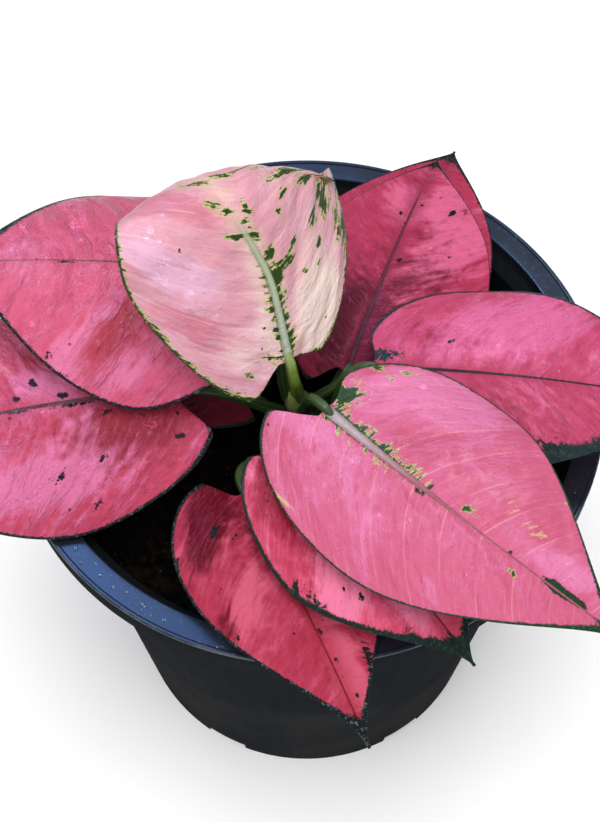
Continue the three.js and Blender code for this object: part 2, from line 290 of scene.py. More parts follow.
def sweep(centres, uprights, radii, sides, shape):
    """A closed round body. Each ring stands square to the route through its centre; its points go
    round from the upright direction at a radius times shape(angle, share of the route)."""
    along = unit(np.gradient(centres, axis=0))
    up = unit(uprights - along * np.sum(uprights * along, -1, keepdims=True))
    side = np.cross(along, up)
    angle = once_round(sides)[None, :]
    share = np.linspace(0, 1, len(centres))[:, None]
    reach = radii[:, None] * shape(angle, share)
    spoke = up[:, None] * np.cos(angle)[..., None] + side[:, None] * np.sin(angle)[..., None]
    points = (centres[:, None] + spoke * reach[..., None]).reshape(-1, 3)
    return np.concatenate((points, centres[:1], centres[-1:])), closed_faces(len(centres), sides)


def swept_uv(rings, round_values):
    """The UV map of a swept body: u along its route, v as given round it and 0.5 at its ends."""
    u, v = np.meshgrid(np.linspace(0, 1, rings), round_values, indexing="ij")
    return np.concatenate((np.stack((u, v), -1).reshape(-1, 2), ((0, 0.5), (1, 0.5))))


# Finishes --------------------------------------------------------------------------------------

class Value:
    """A node's output. Arithmetic with it adds a math node and gives that node's output."""

    def __init__(self, finish, socket):
        self.finish = finish
        self.socket = socket

    def __add__(self, other):
        return self.finish.math("ADD", self, other)

    def __sub__(self, other):
        return self.finish.math("SUBTRACT", self, other)

    def __rsub__(self, other):
        return self.finish.math("SUBTRACT", other, self)

    def __mul__(self, other):
        return self.finish.math("MULTIPLY", self, other)

    def __truediv__(self, other):
        return self.finish.math("DIVIDE", self, other)

    def __abs__(self):
        return self.finish.math("ABSOLUTE", self)


class Finish:
    """A material built node by node: each call adds one node and hands back its output."""

    def __init__(self, name, **shine):
        self.material = bpy.data.materials.new(name)
        self.material.use_nodes = True
        self.tree = self.material.node_tree
        self.shader = self.tree.nodes["Principled BSDF"]
        for word, value in shine.items():
            socket = word.replace("_", " ").title().replace("Ior", "IOR")
            self.set(self.shader.inputs[socket], value)

    def set(self, socket, value):
        """Links an output to a socket, or sets the socket to a number or a colour."""
        if isinstance(value, Value):
            self.tree.links.new(value.socket, socket)
        elif isinstance(value, tuple) and len(value) == 3 and socket.type == "RGBA":
            socket.default_value = (*value, 1)
        else:
            socket.default_value = value

    def node(self, kind, inputs=(), output=0, **settings):
        """Adds a node, sets it up and gives one of its outputs."""
        node = self.tree.nodes.new(kind)
        for key, value in settings.items():
            setattr(node, key, value)
        for key, value in dict(inputs).items():
            self.set(node.inputs[key], value)
        return Value(self, node.outputs[output])

    def math(self, operation, a, b=0.0):
        return self.node("ShaderNodeMath", {0: a, 1: b}, operation=operation)

    def step(self, value, low, high):
        """A soft step from 0 at low to 1 at high."""
        inputs = {"Value": value, "From Min": low, "From Max": high}
        return self.node("ShaderNodeMapRange", inputs, interpolation_type="SMOOTHSTEP")

    def span(self, value, low, high):
        """A number from low to high as value goes from 0 to 1."""
        return self.node("ShaderNodeMapRange", {"Value": value, "To Min": low, "To Max": high})

    def mix(self, share, a, b):
        """Colour a where share is 0 and colour b where it is 1."""
        return self.node("ShaderNodeMix", {0: share, 6: a, 7: b}, 2, data_type="RGBA")

    def mark(self, name):
        return self.node("ShaderNodeAttribute", output="Fac", attribute_name=name)

    def place(self):
        return self.node("ShaderNodeTexCoord", output="Object")

    def veins(self):
        return self.node("ShaderNodeUVMap", uv_map="veins")

    def part(self, vector, axis):
        return self.node("ShaderNodeSeparateXYZ", {0: vector}, axis)

    def stretch(self, vector, scale, shift=(0, 0, 0)):
        return self.node("ShaderNodeMapping", {"Vector": vector, "Scale": scale, "Location": shift})

    def noise(self, vector, scale, detail=3.0, roughness=0.5, distortion=0.0):
        return self.node("ShaderNodeTexNoise", {
            "Vector": vector, "Scale": scale, "Detail": detail, "Roughness": roughness,
            "Distortion": distortion}, "Fac")

    def drawn(self, across, along, seed, *grain):
        """Noise drawn out along the lines of the UV map, with a seed of its own."""
        return self.noise(self.stretch(self.veins(), (across, along, 1), (0, 0, seed)), 1.0, *grain)

    def cells(self, vector, scale):
        return self.node("ShaderNodeTexVoronoi", {"Vector": vector, "Scale": scale}, "Distance")

    def bump(self, height, distance, strength, below=None):
        """The normal of a relief, which may lie on the coarser relief of another normal."""
        inputs = {"Height": height, "Distance": distance, "Strength": strength}
        if below is not None:
            inputs["Normal"] = below
        return self.node("ShaderNodeBump", inputs, "Normal")

    def finish(self, colour, roughness, normal):
        given = {"Base Color": colour, "Roughness": roughness, "Normal": normal}
        for socket, value in given.items():
            self.set(self.shader.inputs[socket], value)
        return self.material


# Colours and shine of each look. field covers most of the blade. flush is lighter and deep darker;
# each is partly the leaf's own tone and partly painted light, flush a painted sheen where light
# catches the blade and deep a painted shade. heart lies beside the midrib, dark in the dark marks and
# margins, and fringe speckles the margin. rib is the midrib's colour, and rib_tip its colour past
# the middle where that differs. rib_width is its half width in millimetres at the base and at the
# tip, rib_run where it would narrow to nothing, rib_end where it fades out and outline the strength
# of the line beside it. stripes, veins, specks and folds are the strengths of the fine streaks, of
# the lateral lines, of the dark dots and of the puckers, whose crests carry a painted highlight, and
# shine is the gloss. USUAL_LOOK holds where a look says nothing else.
PALE_GREEN = (0.42, 0.45, 0.15)
LEAF_GREEN = (0.095, 0.17, 0.025)
DEEP_GREEN = (0.020, 0.046, 0.007)
SLATE = (0.006, 0.008, 0.011)
USUAL_LOOK = dict(dark=SLATE, fringe=(0.085, 0.100, 0.105), rib_run=1.1, rib_end=1.0, outline=0.3,
                  stripes=0.10)
LOOKS = {
    "young": dict(
        field=(0.62, 0.29, 0.345), flush=(0.68, 0.38, 0.51), deep_and_shade=(0.52, 0.17, 0.225),
        heart=(0.62, 0.44, 0.34), vein=(0.80, 0.66, 0.58), rib=(0.42, 0.49, 0.38),
        rib_tip=(0.38, 0.44, 0.28), cream=(0.80, 0.69, 0.60), dark=DEEP_GREEN,
        fringe=(0.30, 0.36, 0.10), rib_width=(1.6, 0.5), rib_run=1.3, rib_end=0.53, outline=0.7,
        stripes=0.22, veins=0.26, specks=0.0, shine=0.22, folds=0.12),
    "hot": dict(
        field=(0.53, 0.078, 0.156), flush=(0.62, 0.150, 0.29), deep_and_shade=(0.36, 0.036, 0.064),
        heart=(0.46, 0.055, 0.10), vein=(0.62, 0.17, 0.26), rib=(0.16, 0.050, 0.065),
        cream=(0.66, 0.44, 0.34), rib_width=(0.7, 0.2), outline=0.35, veins=0.14, specks=0.6,
        shine=0.30, folds=0.95),
    "warm": dict(
        field=(0.42, 0.042, 0.090), flush=(0.58, 0.138, 0.285), deep_and_shade=(0.22, 0.014, 0.030),
        heart=(0.40, 0.050, 0.105), vein=(0.60, 0.15, 0.23), rib=(0.12, 0.075, 0.09),
        rib_tip=(0.10, 0.030, 0.040), cream=(0.66, 0.44, 0.34), rib_width=(1.1, 0.3), outline=0.45,
        veins=0.12, specks=0.8, shine=0.28, folds=0.90),
    "rose": dict(
        field=(0.39, 0.032, 0.080), flush=(0.58, 0.105, 0.215), deep_and_shade=(0.100, 0.007, 0.020),
        heart=(0.22, 0.016, 0.048), vein=(0.46, 0.080, 0.15), rib=(0.070, 0.020, 0.036),
        rib_tip=(0.12, 0.020, 0.040), cream=(0.60, 0.34, 0.28), fringe=(0.10, 0.05, 0.07),
        rib_width=(1.2, 0.3), rib_end=0.85, veins=0.12, specks=1.0, shine=0.10, folds=0.60),
    "edged": dict(
        field=(0.44, 0.047, 0.118), flush=(0.60, 0.118, 0.27), deep_and_shade=(0.24, 0.016, 0.046),
        heart=(0.36, 0.036, 0.085), vein=(0.54, 0.12, 0.20), rib=(0.035, 0.012, 0.020),
        cream=(0.60, 0.40, 0.30), dark=(0.010, 0.022, 0.022), fringe=(0.035, 0.050, 0.050),
        rib_width=(0.7, 0.3), outline=0.5, veins=0.12, specks=0.6, shine=0.22, folds=0.70),
    "pink": dict(
        field=(0.50, 0.088, 0.178), flush=(0.60, 0.158, 0.32), deep_and_shade=(0.41, 0.056, 0.115),
        heart=(0.50, 0.085, 0.18), vein=(0.66, 0.25, 0.28), rib=(0.40, 0.32, 0.35),
        rib_tip=(0.30, 0.075, 0.10), cream=(0.55, 0.42, 0.20), dark=(0.009, 0.032, 0.012),
        fringe=(0.06, 0.10, 0.05), rib_width=(1.9, 0.26), rib_run=0.74, rib_end=0.97, outline=0.9,
        veins=0.62, specks=0.2, shine=0.30, folds=0.45),
    "crimson": dict(
        field=(0.50, 0.054, 0.114), flush=(0.68, 0.160, 0.285), deep_and_shade=(0.27, 0.015, 0.036),
        heart=(0.42, 0.036, 0.080), vein=(0.56, 0.12, 0.19), rib=(0.20, 0.016, 0.030),
        cream=(0.60, 0.34, 0.26), dark=(0.008, 0.020, 0.016), fringe=(0.030, 0.048, 0.044),
        rib_width=(0.7, 0.2), veins=0.14, specks=1.0, shine=0.10, folds=0.60),
    "wine": dict(
        field=(0.34, 0.028, 0.062), flush=(0.50, 0.082, 0.140), deep_and_shade=(0.100, 0.003, 0.011),
        heart=(0.30, 0.020, 0.042), vein=(0.46, 0.085, 0.115), rib=(0.20, 0.012, 0.026),
        cream=(0.70, 0.55, 0.34), dark=(0.008, 0.012, 0.011), fringe=(0.075, 0.110, 0.130),
        rib_width=(0.6, 0.2), veins=0.16, specks=1.0, shine=0.06, folds=0.50),
    "shaded": dict(
        field=(0.16, 0.010, 0.026), flush=(0.24, 0.03, 0.06), deep_and_shade=(0.08, 0.004, 0.012),
        heart=(0.16, 0.016, 0.03), vein=(0.30, 0.07, 0.10), rib=(0.11, 0.03, 0.04),
        cream=(0.5, 0.34, 0.24), dark=(0.008, 0.018, 0.012), fringe=(0.03, 0.04, 0.03),
        rib_width=(0.7, 0.2), veins=0.12, specks=0.8, shine=0.15, folds=0.4),
}


def leaf_finish(name, look, seed):
    """A glossy variegated leaf. Noise drawn out along the lateral veins streaks its colour and
    breaks the marks, whose thickness the point attributes give, into dashes and flecks. Its lighter
    and darker tones are partly painted sheen and painted shade, and the crests of its puckers carry
    a painted highlight. A film of water lies on it in places."""
    f = Finish(name, coat_weight=look["shine"] / 3, coat_roughness=0.16, sheen_weight=0.02,
               sheen_roughness=0.4, specular_ior_level=look["shine"], sheen_tint=(0.86, 0.84, 1.0))
    rib, edge, t = f.mark("rib_mm"), f.mark("edge_mm"), f.mark("along")
    place = f.stretch(f.place(), (1, 1, 1), (seed, 0, 0))
    cloud = f.noise(place, 48, 3, 0.55)
    mottle = f.noise(place, 260, 4, 0.6)
    ragged = f.noise(place, 760, 4, 0.7)
    streak = f.drawn(36, 2.6, seed + 9, 5, 0.62, 0.4)
    dashes = f.drawn(74, 6.5, seed, 4, 0.62, 0.25)
    flecks = f.drawn(170, 22, seed + 3, 2, 0.5)
    wander = f.drawn(9, 3.5, seed + 5, 2)
    patches = f.drawn(13, 2.6, seed + 12, 5, 0.66, 0.9)

    # Broad tones: the lighter and darker tones are partly the leaf's own and partly painted sheen and
    # painted shade
    tone = cloud * 0.42 + streak * 0.36 + patches * 0.62 + mottle * 0.30
    colour = f.mix(f.step(tone + f.mark("flush"), 0.84, 1.12), look["field"], look["flush"])
    colour = f.mix(f.step(tone - f.mark("deep_and_shade"), 0.84, 0.50), colour, look["deep_and_shade"])
    colour = f.mix(f.step(wander * 8 + rib, 11.0, 3.0) * 0.7, colour, look["heart"])
    glow = f.step((streak - 0.5) * 0.9 + f.mark("glow"), 0.05, 1.0)
    colour = f.mix(glow * f.step(f.mark("glow"), 0.0, 0.2), colour, look["cream"])
    colour = f.mix(f.step(dashes, 0.46, 0.64) * look["stripes"], colour, look["flush"])

    # Lateral veins, and a painted highlight in the flush colour along the crests of the puckers between
    # them
    drift = wander * 0.006 + f.part(f.veins(), 0)
    stripe = f.math("PINGPONG", drift * VEIN_PAIRS, 0.5)
    fine = f.math("PINGPONG", drift * (VEIN_PAIRS * 5), 0.5)
    main_veins = f.step(stripe, 0.032, 0.006) * f.step(streak, 0.38, 0.58)
    fine_veins = f.step(fine, 0.20, 0.0) * f.step(dashes, 0.44, 0.62)
    lateral = f.math("MAXIMUM", main_veins, fine_veins * 0.30)
    colour = f.mix(lateral * look["veins"], colour, look["vein"])
    folds = f.drawn(19, 7, seed + 20, 2, 0.45, 0.7)
    folded = f.step(patches, 0.48, 0.64)
    crest_highlight = f.step(abs(folds - 0.53), 0.040, 0.0) * folded
    colour = f.mix(crest_highlight * (look["folds"] * 0.40), colour, look["flush"])

    # Cream, green and dark marks, where their thickness passes the grain of the noise
    grain = dashes * 0.50 + ragged * 0.74 + flecks * 0.22
    threshold = f.math("MAXIMUM", f.span(grain, -1.95, 1.75), 0.28)
    dashed = dashes * 0.90 + ragged * 0.42 + flecks * 0.14
    dashed = f.math("MAXIMUM", f.span(dashed, -2.62, 2.10), 0.28)
    cream = f.step(f.mark("cream") - dashed, -0.20, 0.30)
    colour = f.mix(cream * 0.75, colour, look["cream"])
    marble = f.mark("marble") - dashed
    colour = f.mix(f.step(marble, -0.24, -0.06), colour, PALE_GREEN)
    colour = f.mix(f.step(marble, -0.01, 0.08), colour, LEAF_GREEN)
    colour = f.mix(f.step(marble, 0.09, 0.22), colour, DEEP_GREEN)
    dark = f.mark("dark") - threshold
    colour = f.mix(f.step(dark, -0.24, 0.06) * 0.40, colour, look["deep_and_shade"])
    colour = f.mix(f.step(dark, 0.0, 0.13), colour, look["dark"])
    dots = f.step(f.cells(place, 130), 0.085, 0.05) * f.step(cloud, 0.50, 0.56)
    specks = f.step(f.cells(place, 430), 0.15, 0.08) * f.step(mottle, 0.56, 0.62)
    specks = f.math("MAXIMUM", dots, specks * 0.7)
    colour = f.mix(specks * look["specks"], colour, look["dark"])

    # Midrib with its outline, and the dark margin
    base_width, tip_width = look["rib_width"]
    rib_reach = f.math("MAXIMUM", (1.0 - t / look["rib_run"]) * base_width, tip_width)
    width_share = rib / rib_reach
    seen = f.step(t, look["rib_end"] + 0.03, look["rib_end"] - 0.08)
    rib_colour = f.mix(f.step(t, 0.12, 0.50), look["rib"], look.get("rib_tip", look["rib"]))
    rib_side = f.mix(0.35, rib_colour, look["dark"])
    rib_tone = f.mix(f.step(width_share, 0.9, 0.1), rib_side, rib_colour)
    colour = f.mix(f.step(width_share, 1.15, 0.75) * seen, colour, rib_tone)
    rib_line = f.step(abs(width_share - 1.2), 0.30, 0.08) * seen * f.step(dashes, 0.38, 0.6)
    rib_line = rib_line * f.step(t, 0.62, 0.30)
    colour = f.mix(rib_line * look["outline"], colour, look["dark"])
    margin = f.span(grain, -0.7, 2.1) * f.mark("margin_mm")
    speckled = f.mix(f.step(flecks * 0.5 + ragged, 0.80, 0.92), look["dark"], look["fringe"])
    colour = f.mix(f.step(edge / margin, 1.2, 0.75), colour, speckled)

    # The dull underside, the wet film and the relief
    under = f.mark("under")
    colour = f.mix(under, colour, f.mix(0.5, colour, (0.16, 0.13, 0.075)))
    wet = f.step(mottle * 0.5 + cloud, 0.70, 0.85)
    roughness = f.span(under * -0.6 + wet, 0.42, 0.15)
    wrinkles = f.noise(place, 340, 4, 0.62, 0.6)
    beads = f.step(f.cells(place, 520), 0.30, 0.12) * wet
    normal = f.bump(f.drawn(30, 6, seed + 7, 3, 0.55, 0.4), 0.0016, 0.45)
    normal = f.bump(wrinkles, 0.0011, 0.14 + 0.5 * look["folds"], normal)
    normal = f.bump(folds * folded, 0.0018, 0.7 * look["folds"], normal)
    normal = f.bump(beads, 0.00022, 0.6, normal)
    normal = f.bump(flecks, 0.00018, 0.4, normal)
    normal = f.bump(f.noise(f.place(), 2400, 2), 0.00004, 0.4, normal)
    return f.finish(colour, roughness, normal)


def stalk_finish(name, base, pale, seed, end=None):
    """A smooth leaf stalk: long fibres in two greens, paler along the channel and spotted."""
    f = Finish(name, coat_weight=0.2, coat_roughness=0.25)
    fibres = f.drawn(2.0, 9, seed, 3, 0.6)
    blotches = f.drawn(7, 2.2, seed + 2, 3)
    colour = f.mix(f.step(fibres, 0.38, 0.62), base, f.mix(0.5, base, pale))
    colour = f.mix(f.step(f.mark("channel"), 0.35, 0.9) * 0.7, colour, pale)
    colour = f.mix(f.step(blotches, 0.6, 0.68), colour, DEEP_GREEN)
    if end is not None:
        colour = f.mix(f.step(f.part(f.veins(), 0), 0.82, 0.94), colour, end)
    return f.finish(colour, f.span(fibres, 0.28, 0.45), f.bump(fibres, 0.0002, 0.4))


def cane_finish():
    """Green-brown bark: corky rings at the leaf scars, with fine lengthwise cracks."""
    f = Finish("cane_bark")
    place = f.place()
    rings = f.noise(f.stretch(place, (1, 1, 8)), 130, 3)
    cracks = f.noise(f.stretch(place, (1, 1, 0.2)), 900, 4, 0.6)
    colour = f.mix(f.step(rings, 0.4, 0.62), (0.075, 0.085, 0.030), (0.14, 0.105, 0.055))
    colour = f.mix(f.step(cracks, 0.55, 0.7), colour, (0.035, 0.026, 0.016))
    return f.finish(colour, f.span(cracks, 0.55, 0.9), f.bump(cracks, 0.0004, 0.6))


def soil_finish():
    """Damp peat: near black, both from its own dark and as painted shade inside the pot, with brown
    fibres and a few pale grains.
    """
    f = Finish("damp_peat", specular_ior_level=0.15)
    place = f.place()
    lumps = f.noise(place, 260, 5, 0.65)
    fibres = f.noise(f.stretch(place, (1, 0.25, 1)), 1100, 4, 0.6, 1.5)
    # These near-black colours hold painted shade for the pot's hollow as well as the dark of damp peat
    colour = f.mix(f.step(lumps, 0.42, 0.66), (0.0012, 0.0010, 0.0008), (0.0075, 0.0048, 0.0032))
    colour = f.mix(f.step(fibres, 0.62, 0.72), colour, (0.022, 0.014, 0.008))
    colour = f.mix(f.step(f.cells(place, 230), 0.13, 0.08), colour, (0.030, 0.023, 0.017))
    return f.finish(colour, f.span(lumps, 0.75, 0.98), f.bump(lumps + fibres * 0.4, 0.0012, 0.8))


def pot_body_finish():
    """Black moulded plastic gone dull: faint upright flow marks, brown dust that gathers low on
    the wall, dried water spots and fine scuffs."""
    f = Finish("dull_black_plastic", specular_ior_level=0.0, coat_weight=0.040, coat_roughness=0.30)
    place = f.place()
    streaks = f.noise(f.stretch(place, (1, 1, 0.06)), 240, 4, 0.6)
    clouds = f.noise(place, 22, 4, 0.6)
    colour = f.mix(f.span(streaks, 0, 1), (0.0048, 0.0062, 0.0078), (0.0120, 0.0150, 0.0185))
    low = f.step(f.part(place, 2), 0.17, 0.02)
    dust = f.step(low * 0.30 + clouds, 0.55, 0.95) * 0.5
    colour = f.mix(dust, colour, (0.030, 0.028, 0.026))
    spots = f.step(f.cells(place, 300), 0.20, 0.12) * f.step(clouds, 0.50, 0.60)
    colour = f.mix(spots * 0.30, colour, (0.05, 0.053, 0.055))
    scuffs = f.noise(f.stretch(place, (0.3, 0.3, 3)), 420, 3, 0.7, 0.6)
    roughness = f.span(scuffs * 0.5 + dust * 0.6, 0.34, 0.75)
    normal = f.bump(f.noise(place, 900, 3), 0.00008, 0.5)
    return f.finish(colour, roughness, f.bump(streaks, 0.0006, 0.3, normal))


def pot_lip_finish():
    """The same plastic where hands and water keep it clean: smooth and glossy black, with a navy tint in
    its colour and a blue tint in its gloss that are painted reflection of a blue sky, a film of fine
    splashes, a few lime specks and dust, and a pale line along the outer edge."""
    # The blue specular tint stands in for a blue sky reflected in the lip
    f = Finish("glossy_black_plastic", specular_ior_level=1.0, specular_tint=(0.6, 0.78, 1.0))
    place = f.place()
    film = f.noise(place, 46, 4, 0.6)
    splashes = f.step(f.cells(place, 620), 0.30, 0.18) * f.step(film, 0.47, 0.6)
    dust = f.step(f.cells(place, 520), 0.15, 0.08) * f.step(film, 0.54, 0.62)
    specks = f.math("MAXIMUM", f.step(f.cells(place, 170), 0.045, 0.03), dust * 0.6)
    level = f.stretch(place, (1, 1, 0))
    across = f.node("ShaderNodeVectorMath", {0: level}, "Value", operation="LENGTH")
    # A pale line along the outer edge of the lip
    pale_edge = f.step(across, LIP_RADIUS - 0.0007, LIP_RADIUS - 0.0004) * f.step(film, 0.44, 0.62)
    # The navy tint of these colours is painted reflection of a blue sky
    colour = f.mix(f.span(film, 0, 1), (0.006, 0.008, 0.013), (0.013, 0.017, 0.028))
    colour = f.mix(splashes * 0.5, colour, (0.05, 0.055, 0.065))
    colour = f.mix(specks, colour, (0.35, 0.36, 0.37))
    colour = f.mix(pale_edge * 0.45, colour, (0.11, 0.11, 0.11))
    roughness = f.span(splashes * 0.5 + film, 0.12, 0.42)
    return f.finish(colour, roughness, f.bump(splashes, 0.0002, 0.35))


def water_finish():
    """Clear still water, tinted grey as painted shade, since the drops cast no shadow."""
    f = Finish("clear_water", transmission_weight=1.0, ior=1.333)
    ripple = f.noise(f.place(), 300, 1)
    return f.finish((0.78, 0.84, 0.88), 0.01, f.bump(ripple, 0.00003, 0.3))


def floor_finish():
    """Plain pale studio paper."""
    f = Finish("studio_paper")
    return f.finish((0.97, 0.97, 0.97), 0.9, f.bump(f.noise(f.place(), 400, 2), 0.0001, 0.1))


# Blades ----------------------------------------------------------------------------------------

def midrib_rows(leaf):
    """The midrib from behind the base to just past the tip, as (u, place, left, up) and the number
    of the base's row. Each short step follows a heading and a pitch that change along the blade;
    roll turns the sides."""
    u = np.linspace(-BEHIND_BASE, 1.02, CURVE_STEPS)
    along_blade = np.clip(u, 0, 1)
    knee_start, knee_length, knee_angle = leaf["knee"]
    knee = knee_angle * smooth((along_blade - knee_start) / knee_length)
    pitch = np.radians(leaf["pitch"] + leaf["droop"] * along_blade + knee)
    heading = np.radians(leaf["heading"] + leaf["turn"] * along_blade)
    level_share = np.cos(pitch)
    along = np.stack((level_share * np.cos(heading), level_share * np.sin(heading), np.sin(pitch)), -1)
    level = np.stack((-np.sin(heading), np.cos(heading), np.zeros_like(heading)), -1)
    roll = np.radians(leaf["roll"])
    left = level * np.cos(roll) + np.cross(along, level) * np.sin(roll)
    step = u[1] - u[0]
    at_base = round(BEHIND_BASE / step)
    place = np.cumsum(along * step * leaf["length"], axis=0)
    place += np.array(leaf["base"]) - place[at_base]
    return u, place, left, np.cross(along, left), at_base


def blade_plan(leaf, t, s):
    """The blade laid flat, as (share along the midrib, share of the half width out from it, where
    the margin lies, half width in metres). The margin is a power of a sine that sharpens towards
    the tip; a line of equal t bends from the midrib to it."""
    side = np.sign(s)
    size = np.abs(s)
    half_width = leaf["width"] / 2 * (1 + leaf["asym"] * side)
    lobe = np.where(s > 0, leaf["lobes"][0], leaf["lobes"][1])
    angle = np.pi * t
    power = 1 + (leaf["point"] - 1) * smooth(t)
    least = np.where(t < 0.5, BASE_HALF_WIDTH, TIP_HALF_WIDTH) / half_width
    across = np.maximum(np.maximum(np.sin(angle), 0) ** power, least)
    margin = ((1 - np.cos(angle)) / 2) ** leaf["belly"] * (1 + lobe) - lobe
    margin = margin + np.where(t < 0.5, lobe * (1 - smooth((across - least) / SINUS_SHARE)), 0)
    on_rib = t ** RIB_POWER
    along = on_rib + (margin - on_rib) * size ** VEIN_SWEEP
    return along, across * size, across, half_width


def vein_place(leaf, t, s):
    """Where a point lies among the lateral veins: V, the share of the midrib at which its own vein
    leaves, and y, its signed share of the half width. The veins sweep forward, so that
    V = along - 0.10 y - 0.16 y squared on either side."""
    along, out, _, _ = blade_plan(leaf, t, s)
    return along - VEIN_LEAN * out - VEIN_CURVE * out ** 2, np.sign(s) * out


def blade_surface(leaf, t, s):
    """Upper face without its relief, its normal, and the distances from the midrib and from the
    margin. The section lifts from the midrib by fold and falls again by curl, with a wave that
    grows towards the margin."""
    side = np.sign(s)
    along, out, across, half_width = blade_plan(leaf, t, s)
    fold, curl = np.radians(leaf["fold"]), np.radians(leaf["curl"])
    tilt = fold - curl * out
    sideways = (np.sin(fold) - np.sin(tilt)) / curl * half_width * side
    wave = EDGE_WAVE * out ** 2 * np.sin(2 * np.pi * (WAVES_ALONG * along + 0.13 * side))
    rise = (np.cos(tilt) - np.cos(fold)) / curl * half_width + wave
    u, place, left, up, _ = midrib_rows(leaf)
    left_here, up_here = follow(left, u, along), follow(up, u, along)
    point = follow(place, u, along) + left_here * sideways[..., None] + up_here * rise[..., None]
    normal = unit(up_here * np.cos(tilt)[..., None] - left_here * (np.sin(tilt) * side)[..., None])
    return point, normal, out * half_width, (across - out) * half_width


# The crinkles of a blade: half waves along it and out from its midrib, and height in millimetres
CRINKLES = ((7, 3, 0.20), (13, 5, 0.13), (23, 8, 0.08), (37, 6, 0.05), (16, 13, 0.06))


def blade_relief(vein, share_out, t, out, edge, seed):
    """How far the upper face stands out from the plain blade. Flesh swells between sunk veins,
    the midrib lies in a channel, and low sine ripples with seeded phases crinkle the rest."""
    draw = np.random.default_rng(seed)
    free = smooth(out / 0.006) * smooth(edge / 0.005)
    drift = vein + 0.003 * np.sin(5 * share_out + seed)
    swell = np.abs(np.sin(np.pi * VEIN_PAIRS * drift)) ** 0.8
    fine = np.abs(np.sin(np.pi * VEIN_PAIRS * 3 * drift + 0.6))
    crinkle = np.zeros_like(vein)
    for waves_in, waves_out, size in CRINKLES:
        turn, lean = draw.uniform(0, 2 * np.pi), draw.uniform(-1.5, 1.5)
        phase = np.pi * (waves_in * vein + (waves_out + lean) * share_out) + turn
        crinkle = crinkle + size * np.sin(phase)
    relief = (0.34 * (swell - 0.75) + 0.07 * (fine - 0.7) + crinkle * 0.9) * free
    channel = 0.45 * bell(out / 0.0016) * (1 - 0.6 * t)
    return (relief - channel - 0.33) * MM


def patch(vein, out, at_vein, at_out, reach_vein, reach_out):
    """A soft round patch on the blade, 1 at its middle."""
    return np.exp(-(((vein - at_vein) / reach_vein) ** 2) - ((out - at_out) / reach_out) ** 2)
